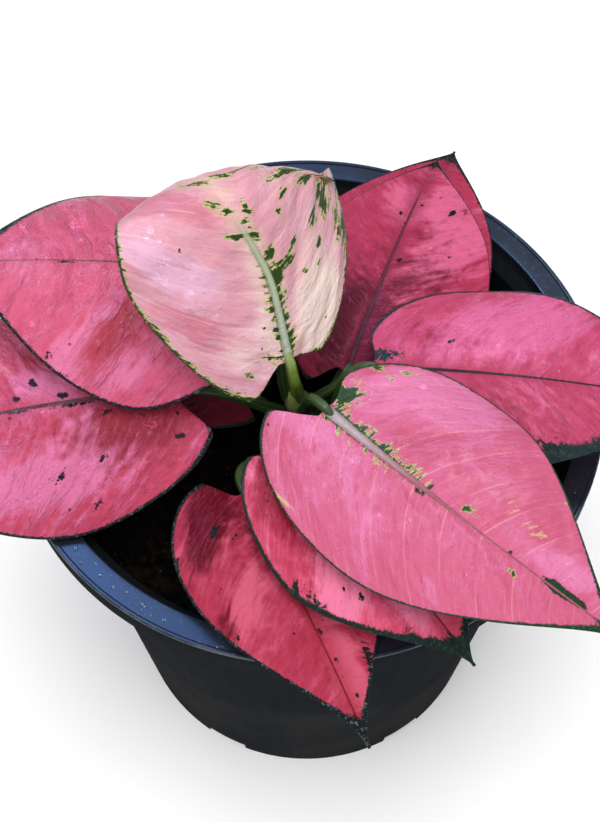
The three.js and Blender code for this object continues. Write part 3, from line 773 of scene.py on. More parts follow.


# Marks laid on the blades, by kind. Each has its place (t, s), its reach along t and along
# s, and a strength; past about 1.2 the noise leaves it whole. flush and deep lighten and darken
# the field, glow fades to cream, and cream, marble and dark break into flecks.
# The flush and deep patches are partly the leaf's own tone and partly painted sheen and painted shade,
# such as the darker bases of leaves that lie under others
MARKS = {
    "leaf_young_upright": dict(
        marble=(
            (0.36, -0.11, 0.017, 0.12, 1.35), (0.335, -0.085, 0.015, 0.04, 1.15),
            (0.41, -0.06, 0.016, 0.05, 1.35), (0.37, -0.24, 0.011, 0.06, 1.35),
            (0.41, -0.28, 0.009, 0.05, 1.35), (0.33, -0.38, 0.009, 0.04, 1.3),
            (0.34, -0.56, 0.010, 0.03, 1.3), (0.38, -0.57, 0.012, 0.05, 1.35),
            (0.47, 0.02, 0.011, 0.05, 1.4), (0.49, 0.17, 0.011, 0.10, 1.45),
            (0.55, 0.18, 0.010, 0.05, 1.4), (0.57, 0.26, 0.014, 0.07, 1.1),
            (0.54, 0.03, 0.032, 0.035, 1.3), (0.51, 0.08, 0.015, 0.035, 1.25),
            (0.49, -0.22, 0.022, 0.035, 1.15), (0.53, -0.30, 0.016, 0.06, 1.05),
            (0.43, -0.55, 0.024, 0.08, 1.3), (0.44, -0.72, 0.038, 0.07, 1.3),
            (0.63, 0.30, 0.016, 0.13, 0.98), (0.645, 0.08, 0.012, 0.14, 0.92),
            (0.67, 0.45, 0.014, 0.12, 1.0), (0.65, -0.12, 0.010, 0.12, 0.85),
            (0.57, -0.72, 0.045, 0.30, 1.05), (0.59, -0.42, 0.024, 0.24, 0.85),
            (0.39, -0.88, 0.07, 0.09, 1.1), (0.50, -0.85, 0.05, 0.10, 1.05),
            (0.61, -0.56, 0.024, 0.16, 1.12), (0.53, -0.62, 0.030, 0.07, 1.15),
            (0.47, -0.70, 0.030, 0.06, 1.1), (0.645, -0.34, 0.014, 0.16, 1.0),
            (0.14, 0.40, 0.02, 0.12, 1.05), (0.17, 0.70, 0.014, 0.10, 1.15),
            (0.80, -0.3, 0.12, 0.6, 0.8), (0.85, 0.5, 0.10, 0.4, 0.7)),
        dark=(
            (0.51, 0.57, 0.006, 0.016, 1.8), (0.23, 0.24, 0.006, 0.018, 1.6),
            (0.31, 0.65, 0.006, 0.014, 1.6), (0.19, 0.38, 0.006, 0.016, 1.5),
            (0.20, -0.77, 0.005, 0.02, 1.4), (0.23, -0.53, 0.005, 0.015, 1.3)),
        flush=((0.50, 0.75, 0.06, 0.25, 0.5), (0.47, 0.62, 0.04, 0.25, 0.42)),
        deep_and_shade=((0.60, 0.60, 0.05, 0.40, 0.55), (0.36, 0.74, 0.07, 0.25, 0.42)),
        glow=(
            (0.20, -0.80, 0.12, 0.40, 1.0), (0.30, -0.50, 0.20, 0.40, 0.50),
            (0.17, -0.70, 0.07, 0.30, 0.9), (0.23, -0.40, 0.08, 0.20, 0.3),
            (0.18, 0.20, 0.12, 0.30, 0.55), (0.40, 0.10, 0.12, 0.12, 0.40),
            (0.22, 0.60, 0.08, 0.30, 0.50))),
    "leaf_left_upper": dict(
        dark=(
            (0.66, 0.90, 0.015, 0.05, 1.3), (0.63, 0.97, 0.04, 0.04, 1.0),
            (0.66, 0.02, 0.050, 0.018, 1.1)),
        cream=((0.63, 0.00, 0.05, 0.02, 0.8),),
        marble=((0.49, 0.40, 0.012, 0.04, 0.65),),
        deep_and_shade=((0.53, 0.52, 0.06, 0.28, 0.40), (0.40, 0.35, 0.09, 0.30, 0.30)),
        flush=(
            (0.60, 0.72, 0.08, 0.30, 0.45), (0.80, -0.1, 0.10, 0.5, 0.25),
            (0.50, 0.75, 0.05, 0.20, 0.30))),
    "leaf_left_lower": dict(
        dark=(
            (0.49, -0.19, 0.014, 0.035, 1.5), (0.53, -0.08, 0.013, 0.03, 1.4),
            (0.41, -0.06, 0.022, 0.030, 1.5), (0.37, 0.51, 0.011, 0.055, 1.4),
            (0.47, 0.55, 0.011, 0.06, 1.3), (0.43, 0.82, 0.014, 0.06, 1.2),
            (0.18, 0.70, 0.017, 0.05, 1.5), (0.13, 0.50, 0.02, 0.12, 0.9),
            (0.30, 0.16, 0.02, 0.04, 0.9), (0.52, 0.01, 0.05, 0.03, 1.0),
            (0.38, 0.03, 0.06, 0.025, 1.1)),
        flush=(
            (0.45, -0.15, 0.08, 0.15, 0.45), (0.40, 0.45, 0.13, 0.35, 0.35),
            (0.66, 0.80, 0.20, 0.25, 0.45)),
        deep_and_shade=((0.20, 0.25, 0.16, 0.6, 0.62), (0.62, 0.10, 0.12, 0.3, 0.15))),
    "leaf_back_right_upper": dict(
        dark=(
            (0.76, -0.18, 0.012, 0.06, 1.5), (0.77, -0.59, 0.008, 0.06, 1.4),
            (0.54, -0.09, 0.010, 0.03, 1.3), (0.71, 0.17, 0.012, 0.05, 1.3),
            (0.69, 0.02, 0.010, 0.03, 1.3), (0.72, -0.70, 0.020, 0.06, 1.4),
            (0.59, -0.56, 0.008, 0.03, 1.3), (0.72, -0.9, 0.02, 0.05, 1.2)),
        deep_and_shade=((0.20, 0.10, 0.18, 0.7, 0.75), (0.50, -0.25, 0.12, 0.35, 0.16)),
        flush=(
            (0.62, -0.6, 0.16, 0.35, 0.45), (0.75, 0.3, 0.10, 0.5, 0.30),
            (0.75, -0.7, 0.12, 0.35, 0.60))),
    "leaf_right": dict(
        dark=(
            (0.62, -0.96, 0.10, 0.16, 1.7), (0.75, -0.97, 0.10, 0.20, 1.6),
            (0.05, 0.8, 0.09, 0.5, 1.2), (0.33, 0.35, 0.012, 0.04, 1.3)),
        flush=((0.50, 0.55, 0.16, 0.40, 0.50), (0.30, -0.60, 0.1, 0.3, 0.25)),
        deep_and_shade=((0.28, 0.40, 0.10, 0.35, 0.14), (0.50, -0.40, 0.25, 0.35, 0.16))),
    "leaf_front_right": dict(
        marble=(
            (0.07, 0.85, 0.045, 0.26, 1.15), (0.115, 0.55, 0.035, 0.35, 1.2),
            (0.22, 0.95, 0.08, 0.06, 1.0), (0.31, 0.90, 0.010, 0.05, 1.0),
            (0.05, -0.1, 0.05, 0.3, 1.0), (0.56, 0.08, 0.020, 0.035, 1.5),
            (0.72, -0.22, 0.018, 0.05, 1.1), (0.69, 0.98, 0.02, 0.05, 1.0)),
        cream=(
            (0.15, 0.75, 0.06, 0.25, 0.75), (0.70, 0.45, 0.04, 0.12, 0.66),
            (0.76, 0.60, 0.03, 0.10, 0.72), (0.64, 0.40, 0.05, 0.10, 0.55)),
        dark=(
            (0.45, 0.02, 0.007, 0.07, 1.3), (0.44, -0.05, 0.014, 0.03, 1.3),
            (0.695, 0.02, 0.007, 0.05, 1.5), (0.82, 0.05, 0.036, 0.20, 3.2),
            (0.86, 0.16, 0.030, 0.26, 3.0), (0.18, -0.93, 0.008, 0.03, 1.3)),
        flush=(
            (0.38, 0.75, 0.12, 0.30, 0.70), (0.10, -0.60, 0.12, 0.5, 0.45),
            (0.42, -0.45, 0.08, 0.22, 0.22), (0.78, 0.5, 0.12, 0.4, 0.35)),
        deep_and_shade=((0.38, 0.25, 0.09, 0.2, 0.25),),
        glow=((0.37, -0.985, 0.065, 0.020, 1.2),)),
    "leaf_front_upper": dict(
        dark=(
            (0.53, -0.93, 0.016, 0.05, 1.5), (0.63, -0.60, 0.012, 0.045, 1.5),
            (0.59, -0.62, 0.007, 0.03, 1.3), (0.31, -0.74, 0.008, 0.04, 1.3),
            (0.60, -1.0, 0.12, 0.11, 1.15), (0.76, -0.98, 0.07, 0.22, 1.3),
            (0.93, 0.0, 0.060, 1.6, 2.0)),
        flush=((0.55, -0.55, 0.12, 0.3, 0.62), (0.75, -0.3, 0.08, 0.4, 0.45)),
        deep_and_shade=((0.22, -0.5, 0.13, 0.8, 0.55),)),
    "leaf_front_lower": dict(
        dark=(
            (0.33, -0.60, 0.020, 0.07, 1.7), (0.32, -0.40, 0.007, 0.09, 1.1),
            (0.46, -0.97, 0.020, 0.05, 1.4), (0.51, -0.68, 0.010, 0.05, 1.0),
            (0.62, -0.86, 0.012, 0.04, 1.3), (0.64, 0.03, 0.030, 0.03, 1.0),
            (0.74, 0.12, 0.012, 0.05, 1.4), (0.82, 0.55, 0.012, 0.12, 1.2),
            (0.76, 0.98, 0.10, 0.16, 1.4), (0.30, 0.95, 0.20, 0.07, 1.1)),
        flush=((0.52, -0.45, 0.07, 0.25, 0.45), (0.78, 0.3, 0.12, 0.5, 0.60)),
        deep_and_shade=(
            (0.20, -0.7, 0.13, 0.5, 0.60), (0.38, -0.73, 0.08, 0.24, 0.45),
            (0.24, -0.1, 0.10, 0.4, 0.20), (0.60, -0.88, 0.08, 0.20, 0.22)),
        glow=((0.985, -0.5, 0.03, 0.9, 0.9),)),
    "leaf_left_lowest": dict(
        dark=((0.4, 0.5, 0.03, 0.2, 0.9),)),
}
# How strongly green feathers out from the midrib to the left and right, and how far, in metres
FEATHERS = {"leaf_young_upright": (0.95, 1.16, 0.0044), "leaf_front_right": (1.12, 0.55, 0.0046)}
# How far the midrib strays to the left of the blade's middle on its way to the crest, in metres
RIB_STRAYS = {"leaf_young_upright": 0.008}
# How strongly and how widely marble lies along the margin
MARBLED_MARGINS = {"leaf_young_upright": (0.95, 0.0022)}


def rib_distance(name, t, s, out):
    """Distance from the midrib, which strays in an S curve and comes back before the tip."""
    stray = RIB_STRAYS.get(name, 0) * smooth((t - 0.3) / 0.36) * (1 - smooth((t - 0.7) / 0.3))
    return np.sign(s) * out - stray


def leaf_marks(name, leaf, t, s, rib, edge):
    """How thickly each kind of mark lies: the sum of its patches, the feathers beside the midrib,
    which end two thirds along, and dashes of marble along some margins."""
    vein, out = vein_place(leaf, t, s)
    kinds = {kind: np.zeros_like(t) for kind in ("flush", "deep_and_shade", "glow", "cream", "marble", "dark")}
    for kind, patches in MARKS.get(name, {}).items():
        for at_t, at_s, reach_t, reach_s, strength in patches:
            at = leaf, np.array(at_t), np.array(at_s)
            at_vein, at_out = vein_place(*at)
            reach_out = reach_s * blade_plan(*at)[2]
            kinds[kind] += strength * patch(vein, out, at_vein, at_out, reach_t, reach_out)
    if name in FEATHERS:
        left, right, reach = FEATHERS[name]
        fade = smooth((t - 0.03) / 0.05) * (1 - smooth((t - 0.30) / 0.22))
        near = np.clip(1.25 - np.abs(rib) / reach, 0, 1)
        kinds["marble"] += np.where(rib > 0, left, right) * near * fade
    if name in MARBLED_MARGINS:
        strength, reach = MARBLED_MARGINS[name]
        kinds["marble"] += strength * np.clip(1.25 - edge / reach, 0, 1)
    kinds["glow"] = np.clip(kinds["glow"], 0, 1)
    return kinds


# Mean width of the dark margin in millimetres: on the left near the base and past the middle, and
# the same on the right
MARGINS = {
    "leaf_young_upright": (0.5, 0.7, 0.4, 0.7), "leaf_left_upper": (0.9, 0.9, 1.2, 1.6),
    "leaf_left_lower": (0.8, 0.9, 0.8, 0.8), "leaf_back_right_upper": (0.6, 0.25, 0.6, 0.25),
    "leaf_back_right_lower": (0.7, 0.5, 0.7, 0.5), "leaf_right": (0.7, 0.9, 0.9, 3.2),
    "leaf_front_right": (0.55, 0.5, 0.45, 0.5), "leaf_front_upper": (0.5, 0.8, 0.6, 1.3),
    "leaf_front_lower": (0.5, 0.6, 0.6, 0.8),
}
DEFAULT_MARGIN = (0.7, 0.7, 0.7, 0.7)


def margin_width(name, t, s):
    """Width of the dark margin, from its value near the base to that past the middle."""
    left_base, left_far, right_base, right_far = MARGINS.get(name, DEFAULT_MARGIN)
    far = smooth((t - 0.3) / 0.35)
    left = left_base + (left_far - left_base) * far
    right = right_base + (right_far - right_base) * far
    return np.where(s > 0, left, right)


def make_blade(name, leaf, seed):
    """A closed thin blade: both faces meet in a round margin, the lower one carries the keel."""
    t = np.linspace(0, 1, BLADE_ROWS)[:, None]
    v = np.linspace(-1, 1, BLADE_COLUMNS)[None, :]
    s = v - 0.55 * np.sin(2 * np.pi * v) / (2 * np.pi)
    t, s = np.broadcast_arrays(t, s)
    plain, normal, out, edge = blade_surface(leaf, t, s)
    rib = rib_distance(name, t, s, out)
    vein, share_out = vein_place(leaf, t, s)
    relief = blade_relief(vein, share_out, t, np.abs(rib), edge, seed)
    rounding = np.sqrt(np.clip(1 - np.abs(s) ** MARGIN_BLUNTNESS, 0, 1))
    half = BLADE_THICKNESS / 2 * (rounding * (0.5 + 0.5 * smooth(edge / 0.008)))
    middle = -BLADE_THICKNESS / 2
    keel = RIB_DEPTH * (1 - 0.75 * t) * bell(rib / (0.55 * RIB_HALF_WIDTH))
    upper = plain + normal * (middle + half + relief)[..., None]
    lower = plain + normal * (middle - half + 0.8 * relief - keel)[..., None]

    top = np.arange(t.size).reshape(t.shape)
    low = top + t.size
    low[:, 0], low[:, -1] = top[:, 0], top[:, -1]
    base_end, tip_end = np.stack((low[0], top[0])), np.stack((low[-1], top[-1]))
    faces = np.concatenate((
        grid_faces(top)[:, ::-1], grid_faces(low), grid_faces(base_end)[:, ::-1], grid_faces(tip_end)))
    points = np.concatenate((upper.reshape(-1, 3), lower.reshape(-1, 3)))
    mesh = lay_mesh(f"{name}_blade_surface", points, tidy_ends(faces))
    marks = leaf_marks(name, leaf, t, s, rib, edge)
    marks.update(rib_mm=np.abs(rib) / MM, edge_mm=edge / MM, margin_mm=margin_width(name, t, s))
    marks.update(along=t, under=np.zeros_like(t))
    doubled = {key: np.concatenate((value.ravel(), value.ravel())) for key, value in marks.items()}
    doubled["under"][t.size:] = 1
    uv = np.stack((vein, share_out), -1).reshape(-1, 2)
    add_marks(mesh, np.concatenate((uv, uv)), doubled)
    finish = leaf_finish(f"{leaf['look']}_leaf_{seed}", USUAL_LOOK | LOOKS[leaf["look"]], seed)
    add_piece(mesh, finish, [f"{name}_blade"])
    return upper, normal, t[:, 0], s[0]


def tidy_ends(faces):
    """Turns each quad with two equal points into a triangle that repeats its last point."""
    for shift in range(4):
        turned = np.roll(faces, -shift, axis=1)
        same = turned[:, 2] == turned[:, 3]
        faces = np.where(same[:, None], turned, faces)
    return faces


# Stalks, cane, soil and pot --------------------------------------------------------------------

def cane_at(height):
    """The middle of the cane at a height."""
    share = (height - CANE_FOOT[2]) / (CANE_TOP[2] - CANE_FOOT[2])
    return CANE_FOOT + (CANE_TOP - CANE_FOOT) * share


def make_stalk(name, leaf, finish):
    """A leaf stalk: a cubic Bezier curve from the cane to the blade, then a short run under the
    midrib. Its section has a channel above, with the two wings of the sheath near its root."""
    root_height, direction = leaf["root"]
    outward = level_direction(direction)
    _, _, left, up, at_base = midrib_rows(leaf)
    blade, blade_up = unit(np.cross(left[at_base], up[at_base])), up[at_base]
    end = np.array(leaf["base"]) - blade * STALK_GAP
    from_top = root_height > CANE_TOP[2]
    start = cane_at(root_height) + (0 if from_top else outward * CANE_RADIUS * ROOT_SINK)
    reach = np.linalg.norm(end - start)
    rise = leaf["rise"]
    set_off = np.array((0, -0.2, 1)) if from_top else np.array((0, 0, rise)) + outward * (1.3 - rise)
    first = start + set_off * 0.4 * reach
    second = end - blade * 0.36 * reach
    share = np.linspace(0, 1, 56)[:, None]
    route = (start * (1 - share) ** 3 + 3 * first * share * (1 - share) ** 2
             + 3 * second * share ** 2 * (1 - share) + end * share ** 3)
    run = np.linspace(0.12, 1, 9)[:, None]
    below = blade_up * (-0.0026 * smooth(run * 1.4) - 0.0002)
    centres = np.concatenate((route, end + blade * UNDER_BLADE_RUN * run + below))
    radii = STALK_ROOT_RADIUS + (STALK_END_RADIUS - STALK_ROOT_RADIUS) * share[:, 0]
    radii = np.concatenate((radii, STALK_END_RADIUS * (1 - 0.75 * smooth(run[:, 0] * 1.6))))
    lean = np.linspace(0, 1, len(centres))[:, None]
    uprights = unit(-outward + np.array((0, 0, 0.6))) * (1 - lean) + blade_up * lean

    def section(angle, at):
        turned = np.angle(np.exp(1j * angle))
        sheath = 1 - smooth((at - 0.08) / 0.42)
        channel = 0.30 * bell(turned / 0.42) * smooth(1.4 - at)
        wings = 0.14 * sheath * bell((np.abs(turned) - 0.85) / 0.30)
        return 1 - channel + wings

    points, faces = sweep(centres, uprights, radii, STALK_SIDES, section)
    mesh = lay_mesh(f"{name}_stalk_surface", points, faces)
    round_share = np.linspace(0, 1, STALK_SIDES, endpoint=False)
    uv = swept_uv(len(centres), np.abs(round_share * 2 - 1))
    channel = np.concatenate((smooth((uv[:-2, 1] - 0.72) / 0.2), (0, 0)))
    add_marks(mesh, uv, dict(channel=channel))
    add_piece(mesh, finish, [f"{name}_stalk"])


def make_sheath():
    """The pointed bract in front of the youngest stalk: a route of four points, each with its
    radius, in millimetres, flattened from front to back and drawn out to a tip."""
    knots = np.array((
        (-3.6, -17.2, 203.0, 2.0), (-4.3, -18.4, 208.0, 2.1),
        (-5.0, -19.4, 213.5, 1.4), (-5.6, -20.0, 219.5, 0.12)))
    rows = follow(knots, np.arange(4), np.linspace(0, 3, 40)) * MM

    def section(angle, share):
        return 1 - 0.42 * np.abs(np.cos(angle)) + 0.05 * np.cos(9 * angle) * (1 - share)

    uprights = np.tile((0, -1.0, 0.3), (len(rows), 1))
    points, faces = sweep(rows[:, :3], uprights, rows[:, 3], SHEATH_SIDES, section)
    mesh = lay_mesh("young_sheath", points, faces)
    uv = swept_uv(len(rows), np.linspace(0, 1, SHEATH_SIDES))
    add_marks(mesh, uv, dict(channel=np.full(len(points), 0.9)))
    add_piece(mesh, stalk_finish("pale_sheath", (0.20, 0.30, 0.06), (0.34, 0.44, 0.14), 6))


def make_cane():
    """The short stem along a leaning line, with a sharp-edged ring at each old leaf scar."""
    share = np.linspace(0, 1, CANE_RINGS)
    centres = CANE_FOOT + (CANE_TOP - CANE_FOOT) * share[:, None]
    phase = (share * (CANE_TOP[2] - CANE_FOOT[2]) / SCAR_PITCH) % 1
    scars = 0.00035 * bell((phase - 0.5) / 0.09) - 0.00015 * bell((phase - 0.62) / 0.06)
    radii = CANE_RADIUS * (1 - 0.12 * share) + scars
    radii = radii * np.sqrt(np.clip(1 - ((share - 0.94) / 0.062).clip(0, 1) ** 2, 0.02, 1))

    def section(angle, at):
        return 1 + 0.02 * np.sin(3 * angle + 9 * at) + 0.012 * np.sin(7 * angle - 30 * at)

    uprights = np.tile((0, -1.0, 0), (CANE_RINGS, 1))
    points, faces = sweep(centres, uprights, radii, CANE_SIDES, section)
    add_piece(lay_mesh("cane_bark_surface", points, faces), cane_finish(), ["cane"])


def inner_radius(height):
    """Radius of the pot's inner wall at a height below its step."""
    low, high = BODY_BASE_RADIUS - WALL, BODY_TOP_RADIUS - WALL
    top = RIM_HEIGHT - LIP_DROP + 0.0006
    return low + (high - low) * (height - FLOOR) / (top - FLOOR)


def soil_height(x, y, seed=11):
    """Height of the soil: the CAD's gentle lumps with finer seeded sine crumble on top, both
    fading to nothing at the pot's wall."""
    draw = np.random.default_rng(seed)
    fade = np.maximum(1 - (x * x + y * y) / inner_radius(SOIL_TOP) ** 2, 0)
    lumps = np.sin(130 * x + 0.5) * np.cos(110 * y) + 0.5 * np.sin(210 * (x - y))
    crumble = np.zeros_like(x)
    for size, waves in ((0.0009, 60), (0.0007, 110), (0.0005, 190), (0.0004, 300)):
        for _ in range(3):
            angle, turn = draw.uniform(0, np.pi), draw.uniform(0, 2 * np.pi)
            phase = 2 * np.pi * waves * (x * np.cos(angle) + y * np.sin(angle)) + turn
            crumble = crumble + size / 2 * np.sin(phase)
    return SOIL_TOP + SOIL_LUMP * lumps * fade + crumble * np.minimum(fade * 4, 1) - SOIL_SETTLING


def make_soil():
    """A disc of soil in rings from the wall to the middle, its side and its foot, with small
    seeded crumbs, each a stretched eight-sided double pyramid, half sunk in its top."""
    edge = inner_radius(SOIL_TOP) - WALL_GAP
    foot = FLOOR + FLOOR_GAP
    foot_radius = inner_radius(foot) - WALL_GAP
    top_radii = np.linspace(edge, edge / SOIL_RINGS, SOIL_RINGS)
    radius = np.concatenate(((foot_radius * 0.5, foot_radius), top_radii))[:, None]
    angle = once_round(SOIL_SIDES)[None, :]
    x, y = radius * np.cos(angle), radius * np.sin(angle)
    z = soil_height(x, y)
    z[:2] = foot
    ends = np.array(((0, 0, foot), (0, 0, soil_height(np.zeros(1), np.zeros(1))[0])))
    points = np.concatenate((np.stack((x, y, z), -1).reshape(-1, 3), ends))
    faces = closed_faces(SOIL_RINGS + 2, SOIL_SIDES)

    draw = np.random.default_rng(7)
    away = edge * 0.97 * np.sqrt(draw.uniform(0, 1, CRUMBS))
    turn = draw.uniform(0, 2 * np.pi, CRUMBS)
    x, y = away * np.cos(turn), away * np.sin(turn)
    centres = np.stack((x, y, soil_height(x, y)), -1)[:, None]
    size = draw.uniform(0.0007, 0.0021, CRUMBS)[:, None, None]
    corner = once_round(CRUMB_SIDES)
    ring = np.stack((np.cos(corner), np.sin(corner), 0 * corner), -1)
    rings = (ring * 0.75 + (0, 0, -0.5), ring + (0, 0, 0.15), ring * 0.6 + (0, 0, 0.7))
    crumb = np.concatenate(rings)
    shapes = crumb[None] * draw.uniform(0.7, 1.25, (CRUMBS, len(crumb), 1)) * size + centres
    tips = shapes.reshape(CRUMBS, len(rings), CRUMB_SIDES, 3).mean(2)[:, ::2]
    tips = tips + np.array(((0, 0, -1), (0, 0, 1))) * size * 0.25
    shapes = np.concatenate((shapes, tips), 1)
    starts = len(points) + shapes.shape[1] * np.arange(CRUMBS)
    crumb_faces = closed_faces(len(rings), CRUMB_SIDES)[None] + starts[:, None, None]
    points = np.concatenate((points, shapes.reshape(-1, 3)))
    faces = np.concatenate((faces, crumb_faces.reshape(-1, 4)))
    add_piece(lay_mesh("soil_surface", points, faces), soil_finish(), ["soil"])


def arc(centre, radius, start, stop, steps=5):
    """Points of a round edge in the profile's plane, between two angles."""
    angle = np.radians(np.linspace(start, stop, steps))
    return [(centre[0] + radius * np.cos(a), centre[1] + radius * np.sin(a)) for a in angle]


def pot_profile():
    """The pot's section from the middle of its underside, up the outside, over the lip and down
    the inside, with small round edges."""
    skirt_inner = LIP_RADIUS - WALL
    skirt_foot = RIM_HEIGHT - LIP_DROP
    flange_top = RIM_HEIGHT - BEAD_HEIGHT
    flange_under = flange_top - FLANGE
    neck = OPENING_RADIUS + WALL
    foot_inner = BODY_BASE_RADIUS - WALL
    bead_inner = LIP_RADIUS - BEAD_WIDTH
    wall_heights = np.linspace(FOOT_ROUND, skirt_foot, 50)[1:-1]
    lean = (BODY_TOP_RADIUS - BODY_BASE_RADIUS) / (skirt_foot - FOOT_ROUND)
    outside = [(BODY_BASE_RADIUS + lean * (h - FOOT_ROUND), h) for h in wall_heights]
    inside = [(r - WALL, h) for r, h in outside[::-1] if h > 0.006]
    return np.array([
        (0.0, 0.0), (0.03, 0.0), (0.06, 0.0), (0.0755, 0.0),
        *arc((BODY_BASE_RADIUS - FOOT_ROUND, FOOT_ROUND), FOOT_ROUND, -90, 0),
        *outside,
        (BODY_TOP_RADIUS, skirt_foot), (neck - 0.0006, skirt_foot + 0.0038),
        (neck, skirt_foot + 0.0046), (neck, flange_under - 0.0004),
        (neck + 0.0004, flange_under), (skirt_inner - 0.0003, flange_under),
        (skirt_inner, flange_under - 0.0003), (skirt_inner, skirt_foot + 0.003),
        *arc((LIP_RADIUS - WALL / 2, skirt_foot + WALL / 2), WALL / 2, 180, 360, 9),
        (LIP_RADIUS, skirt_foot + 0.004),
        *arc((LIP_RADIUS - LIP_ROUND, RIM_HEIGHT - LIP_ROUND), LIP_ROUND, 0, 90),
        *arc((bead_inner, RIM_HEIGHT - BEAD_ROUND), BEAD_ROUND, 90, 150, 3),
        (bead_inner - 0.0006, flange_top), (LIP_RADIUS - 0.004, flange_top),
        (OPENING_RADIUS + 0.003, flange_top),
        *arc((OPENING_RADIUS + MOUTH_ROUND, flange_top - MOUTH_ROUND), MOUTH_ROUND, 90, 180),
        (OPENING_RADIUS, skirt_foot + 0.0052), (OPENING_RADIUS - 0.0004, skirt_foot + 0.0046),
        (BODY_TOP_RADIUS - WALL, skirt_foot + 0.0006),
        *inside,
        (foot_inner + 0.0002, 0.0045),
        *arc((foot_inner - FOOT_ROUND, FLOOR + FOOT_ROUND), FOOT_ROUND, 0, -90),
        (0.06, FLOOR), (0.03, FLOOR), (0.0, FLOOR),
    ])


def make_pot():
    """The pot's profile carried round its axis, then six drain notches cut in its foot. The top of
    the lip takes the glossy finish."""
    profile = pot_profile()
    radius, height = profile[1:-1].T[..., None]
    turn = once_round(POT_SIDES)
    points = np.stack((radius * np.cos(turn), radius * np.sin(turn), height + 0 * turn), -1)
    ends = np.array(((0, 0, profile[0, 1]), (0, 0, profile[-1, 1])))
    points = np.concatenate((points.reshape(-1, 3), ends))
    mesh = lay_mesh("pot_moulding", points, closed_faces(len(radius), POT_SIDES))
    pot = add_piece(mesh, pot_body_finish(), ["pot"])
    mesh.materials.append(pot_lip_finish())
    cutter = put("notch_cutter", notch_mesh())
    cut = pot.modifiers.new("drain_notches", "BOOLEAN")
    cut.operation, cut.solver, cut.object = "DIFFERENCE", "EXACT", cutter
    bpy.context.view_layer.update()
    finished = bpy.data.meshes.new_from_object(pot.evaluated_get(bpy.context.evaluated_depsgraph_get()))
    pot.modifiers.clear()
    pot.data = finished
    finished.name = "pot_moulding_cut"
    bpy.data.objects.remove(cutter)
    middles = np.empty(len(finished.polygons) * 3, np.float32)
    finished.polygons.foreach_get("center", middles)
    on_lip = middles[2::3] > RIM_HEIGHT - BEAD_HEIGHT - 0.0007
    finished.polygons.foreach_set("material_index", on_lip.astype(np.int32))
    finished.shade_smooth()
    finished.set_sharp_from_angle(angle=np.radians(35))


def notch_mesh():
    """Six upright blocks round the foot, each as wide as a notch."""
    corners = np.array([(x, y, z) for z in (-1, 1) for y in (-1, 1) for x in (-1, 1)], float)
    block = np.array(((0, 2, 3, 1), (4, 5, 7, 6), (0, 1, 5, 4), (2, 6, 7, 3), (0, 4, 6, 2), (1, 3, 7, 5)))
    half = np.array((NOTCH_DEPTH, NOTCH_WIDTH / 2, NOTCH_HEIGHT))
    box = corners * half + (BODY_BASE_RADIUS, 0, 0)
    points, faces = [], []
    for i in range(NOTCHES):
        out = level_direction(FIRST_NOTCH + 360 / NOTCHES * i)
        side = np.array((-out[1], out[0], 0))
        points.append(box[:, :1] * out + box[:, 1:2] * side + box[:, 2:] * (0, 0, 1))
        faces.append(block + len(corners) * i)
    mesh = bpy.data.meshes.new("notch_blocks")
    mesh.from_pydata(np.concatenate(points).tolist(), [], np.concatenate(faces).tolist())
    return mesh


# Water -----------------------------------------------------------------------------------------

def dome(centre, normal, radius, height):
    """A water drop: a flattened dome standing on a surface point, its foot sunk a little."""
    around = once_round(DROP_SIDES)[None, :]
    lift = np.linspace(0, np.pi / 2 * 0.96, DROP_RINGS)[:, None]
    side = unit(np.cross(normal, (0.3, 0.9, 0.2)))
    other = np.cross(normal, side)
    flat = np.cos(lift) ** 0.8 * radius
    points = (centre - normal * DROP_SINK + side * (flat * np.cos(around))[..., None]
              + other * (flat * np.sin(around))[..., None]
              + normal * (np.sin(lift) * (height + DROP_SINK) + 0 * around)[..., None])
    ends = np.stack((centre - normal * DROP_SINK, centre + normal * height))
    return np.concatenate((points.reshape(-1, 3), ends)), closed_faces(DROP_RINGS, DROP_SIDES)


# Water drops on the blades, as (t, s, radius in millimetres, height as a share of the radius)
DROPS = {
    "leaf_young_upright": (
        (0.50, 0.69, 1.9, 0.35), (0.48, 0.77, 1.7, 0.35), (0.56, 0.73, 1.3, 0.35),
        (0.46, 0.72, 1.2, 0.35), (0.45, 0.55, 1.2, 0.35), (0.42, 0.62, 1.6, 0.32),
        (0.41, 0.25, 1.2, 0.4), (0.35, 0.56, 1.7, 0.35), (0.55, 0.77, 0.7, 0.4),
        (0.54, 0.68, 0.8, 0.4), (0.24, 0.59, 1.0, 0.4), (0.30, 0.80, 0.6, 0.4), (0.38, 0.42, 0.5, 0.4),
        (0.58, 0.62, 0.6, 0.4)),
    "leaf_left_upper": (
        (0.64, -0.46, 3.4, 0.12), (0.75, -0.74, 1.5, 0.3), (0.63, -0.22, 1.2, 0.3),
        (0.66, -0.78, 1.0, 0.35), (0.70, 0.75, 1.2, 0.3), (0.56, 0.60, 0.9, 0.35),
        (0.50, 0.30, 0.7, 0.35), (0.80, -0.35, 0.9, 0.35)),
    "leaf_left_lower": (
        (0.34, 0.60, 0.8, 0.35), (0.42, 0.30, 0.7, 0.35), (0.55, 0.70, 0.9, 0.3),
        (0.60, 0.40, 0.6, 0.4)),
    "leaf_front_right": (
        (0.35, 0.78, 1.3, 0.3), (0.46, -0.43, 0.9, 0.35), (0.30, -0.30, 0.6, 0.35)),
    "leaf_right": (
        (0.45, 0.30, 0.8, 0.35), (0.60, 0.10, 0.6, 0.35)),
    "leaf_back_right_upper": (
        (0.60, -0.35, 0.9, 0.3), (0.66, 0.40, 0.7, 0.35)),
}
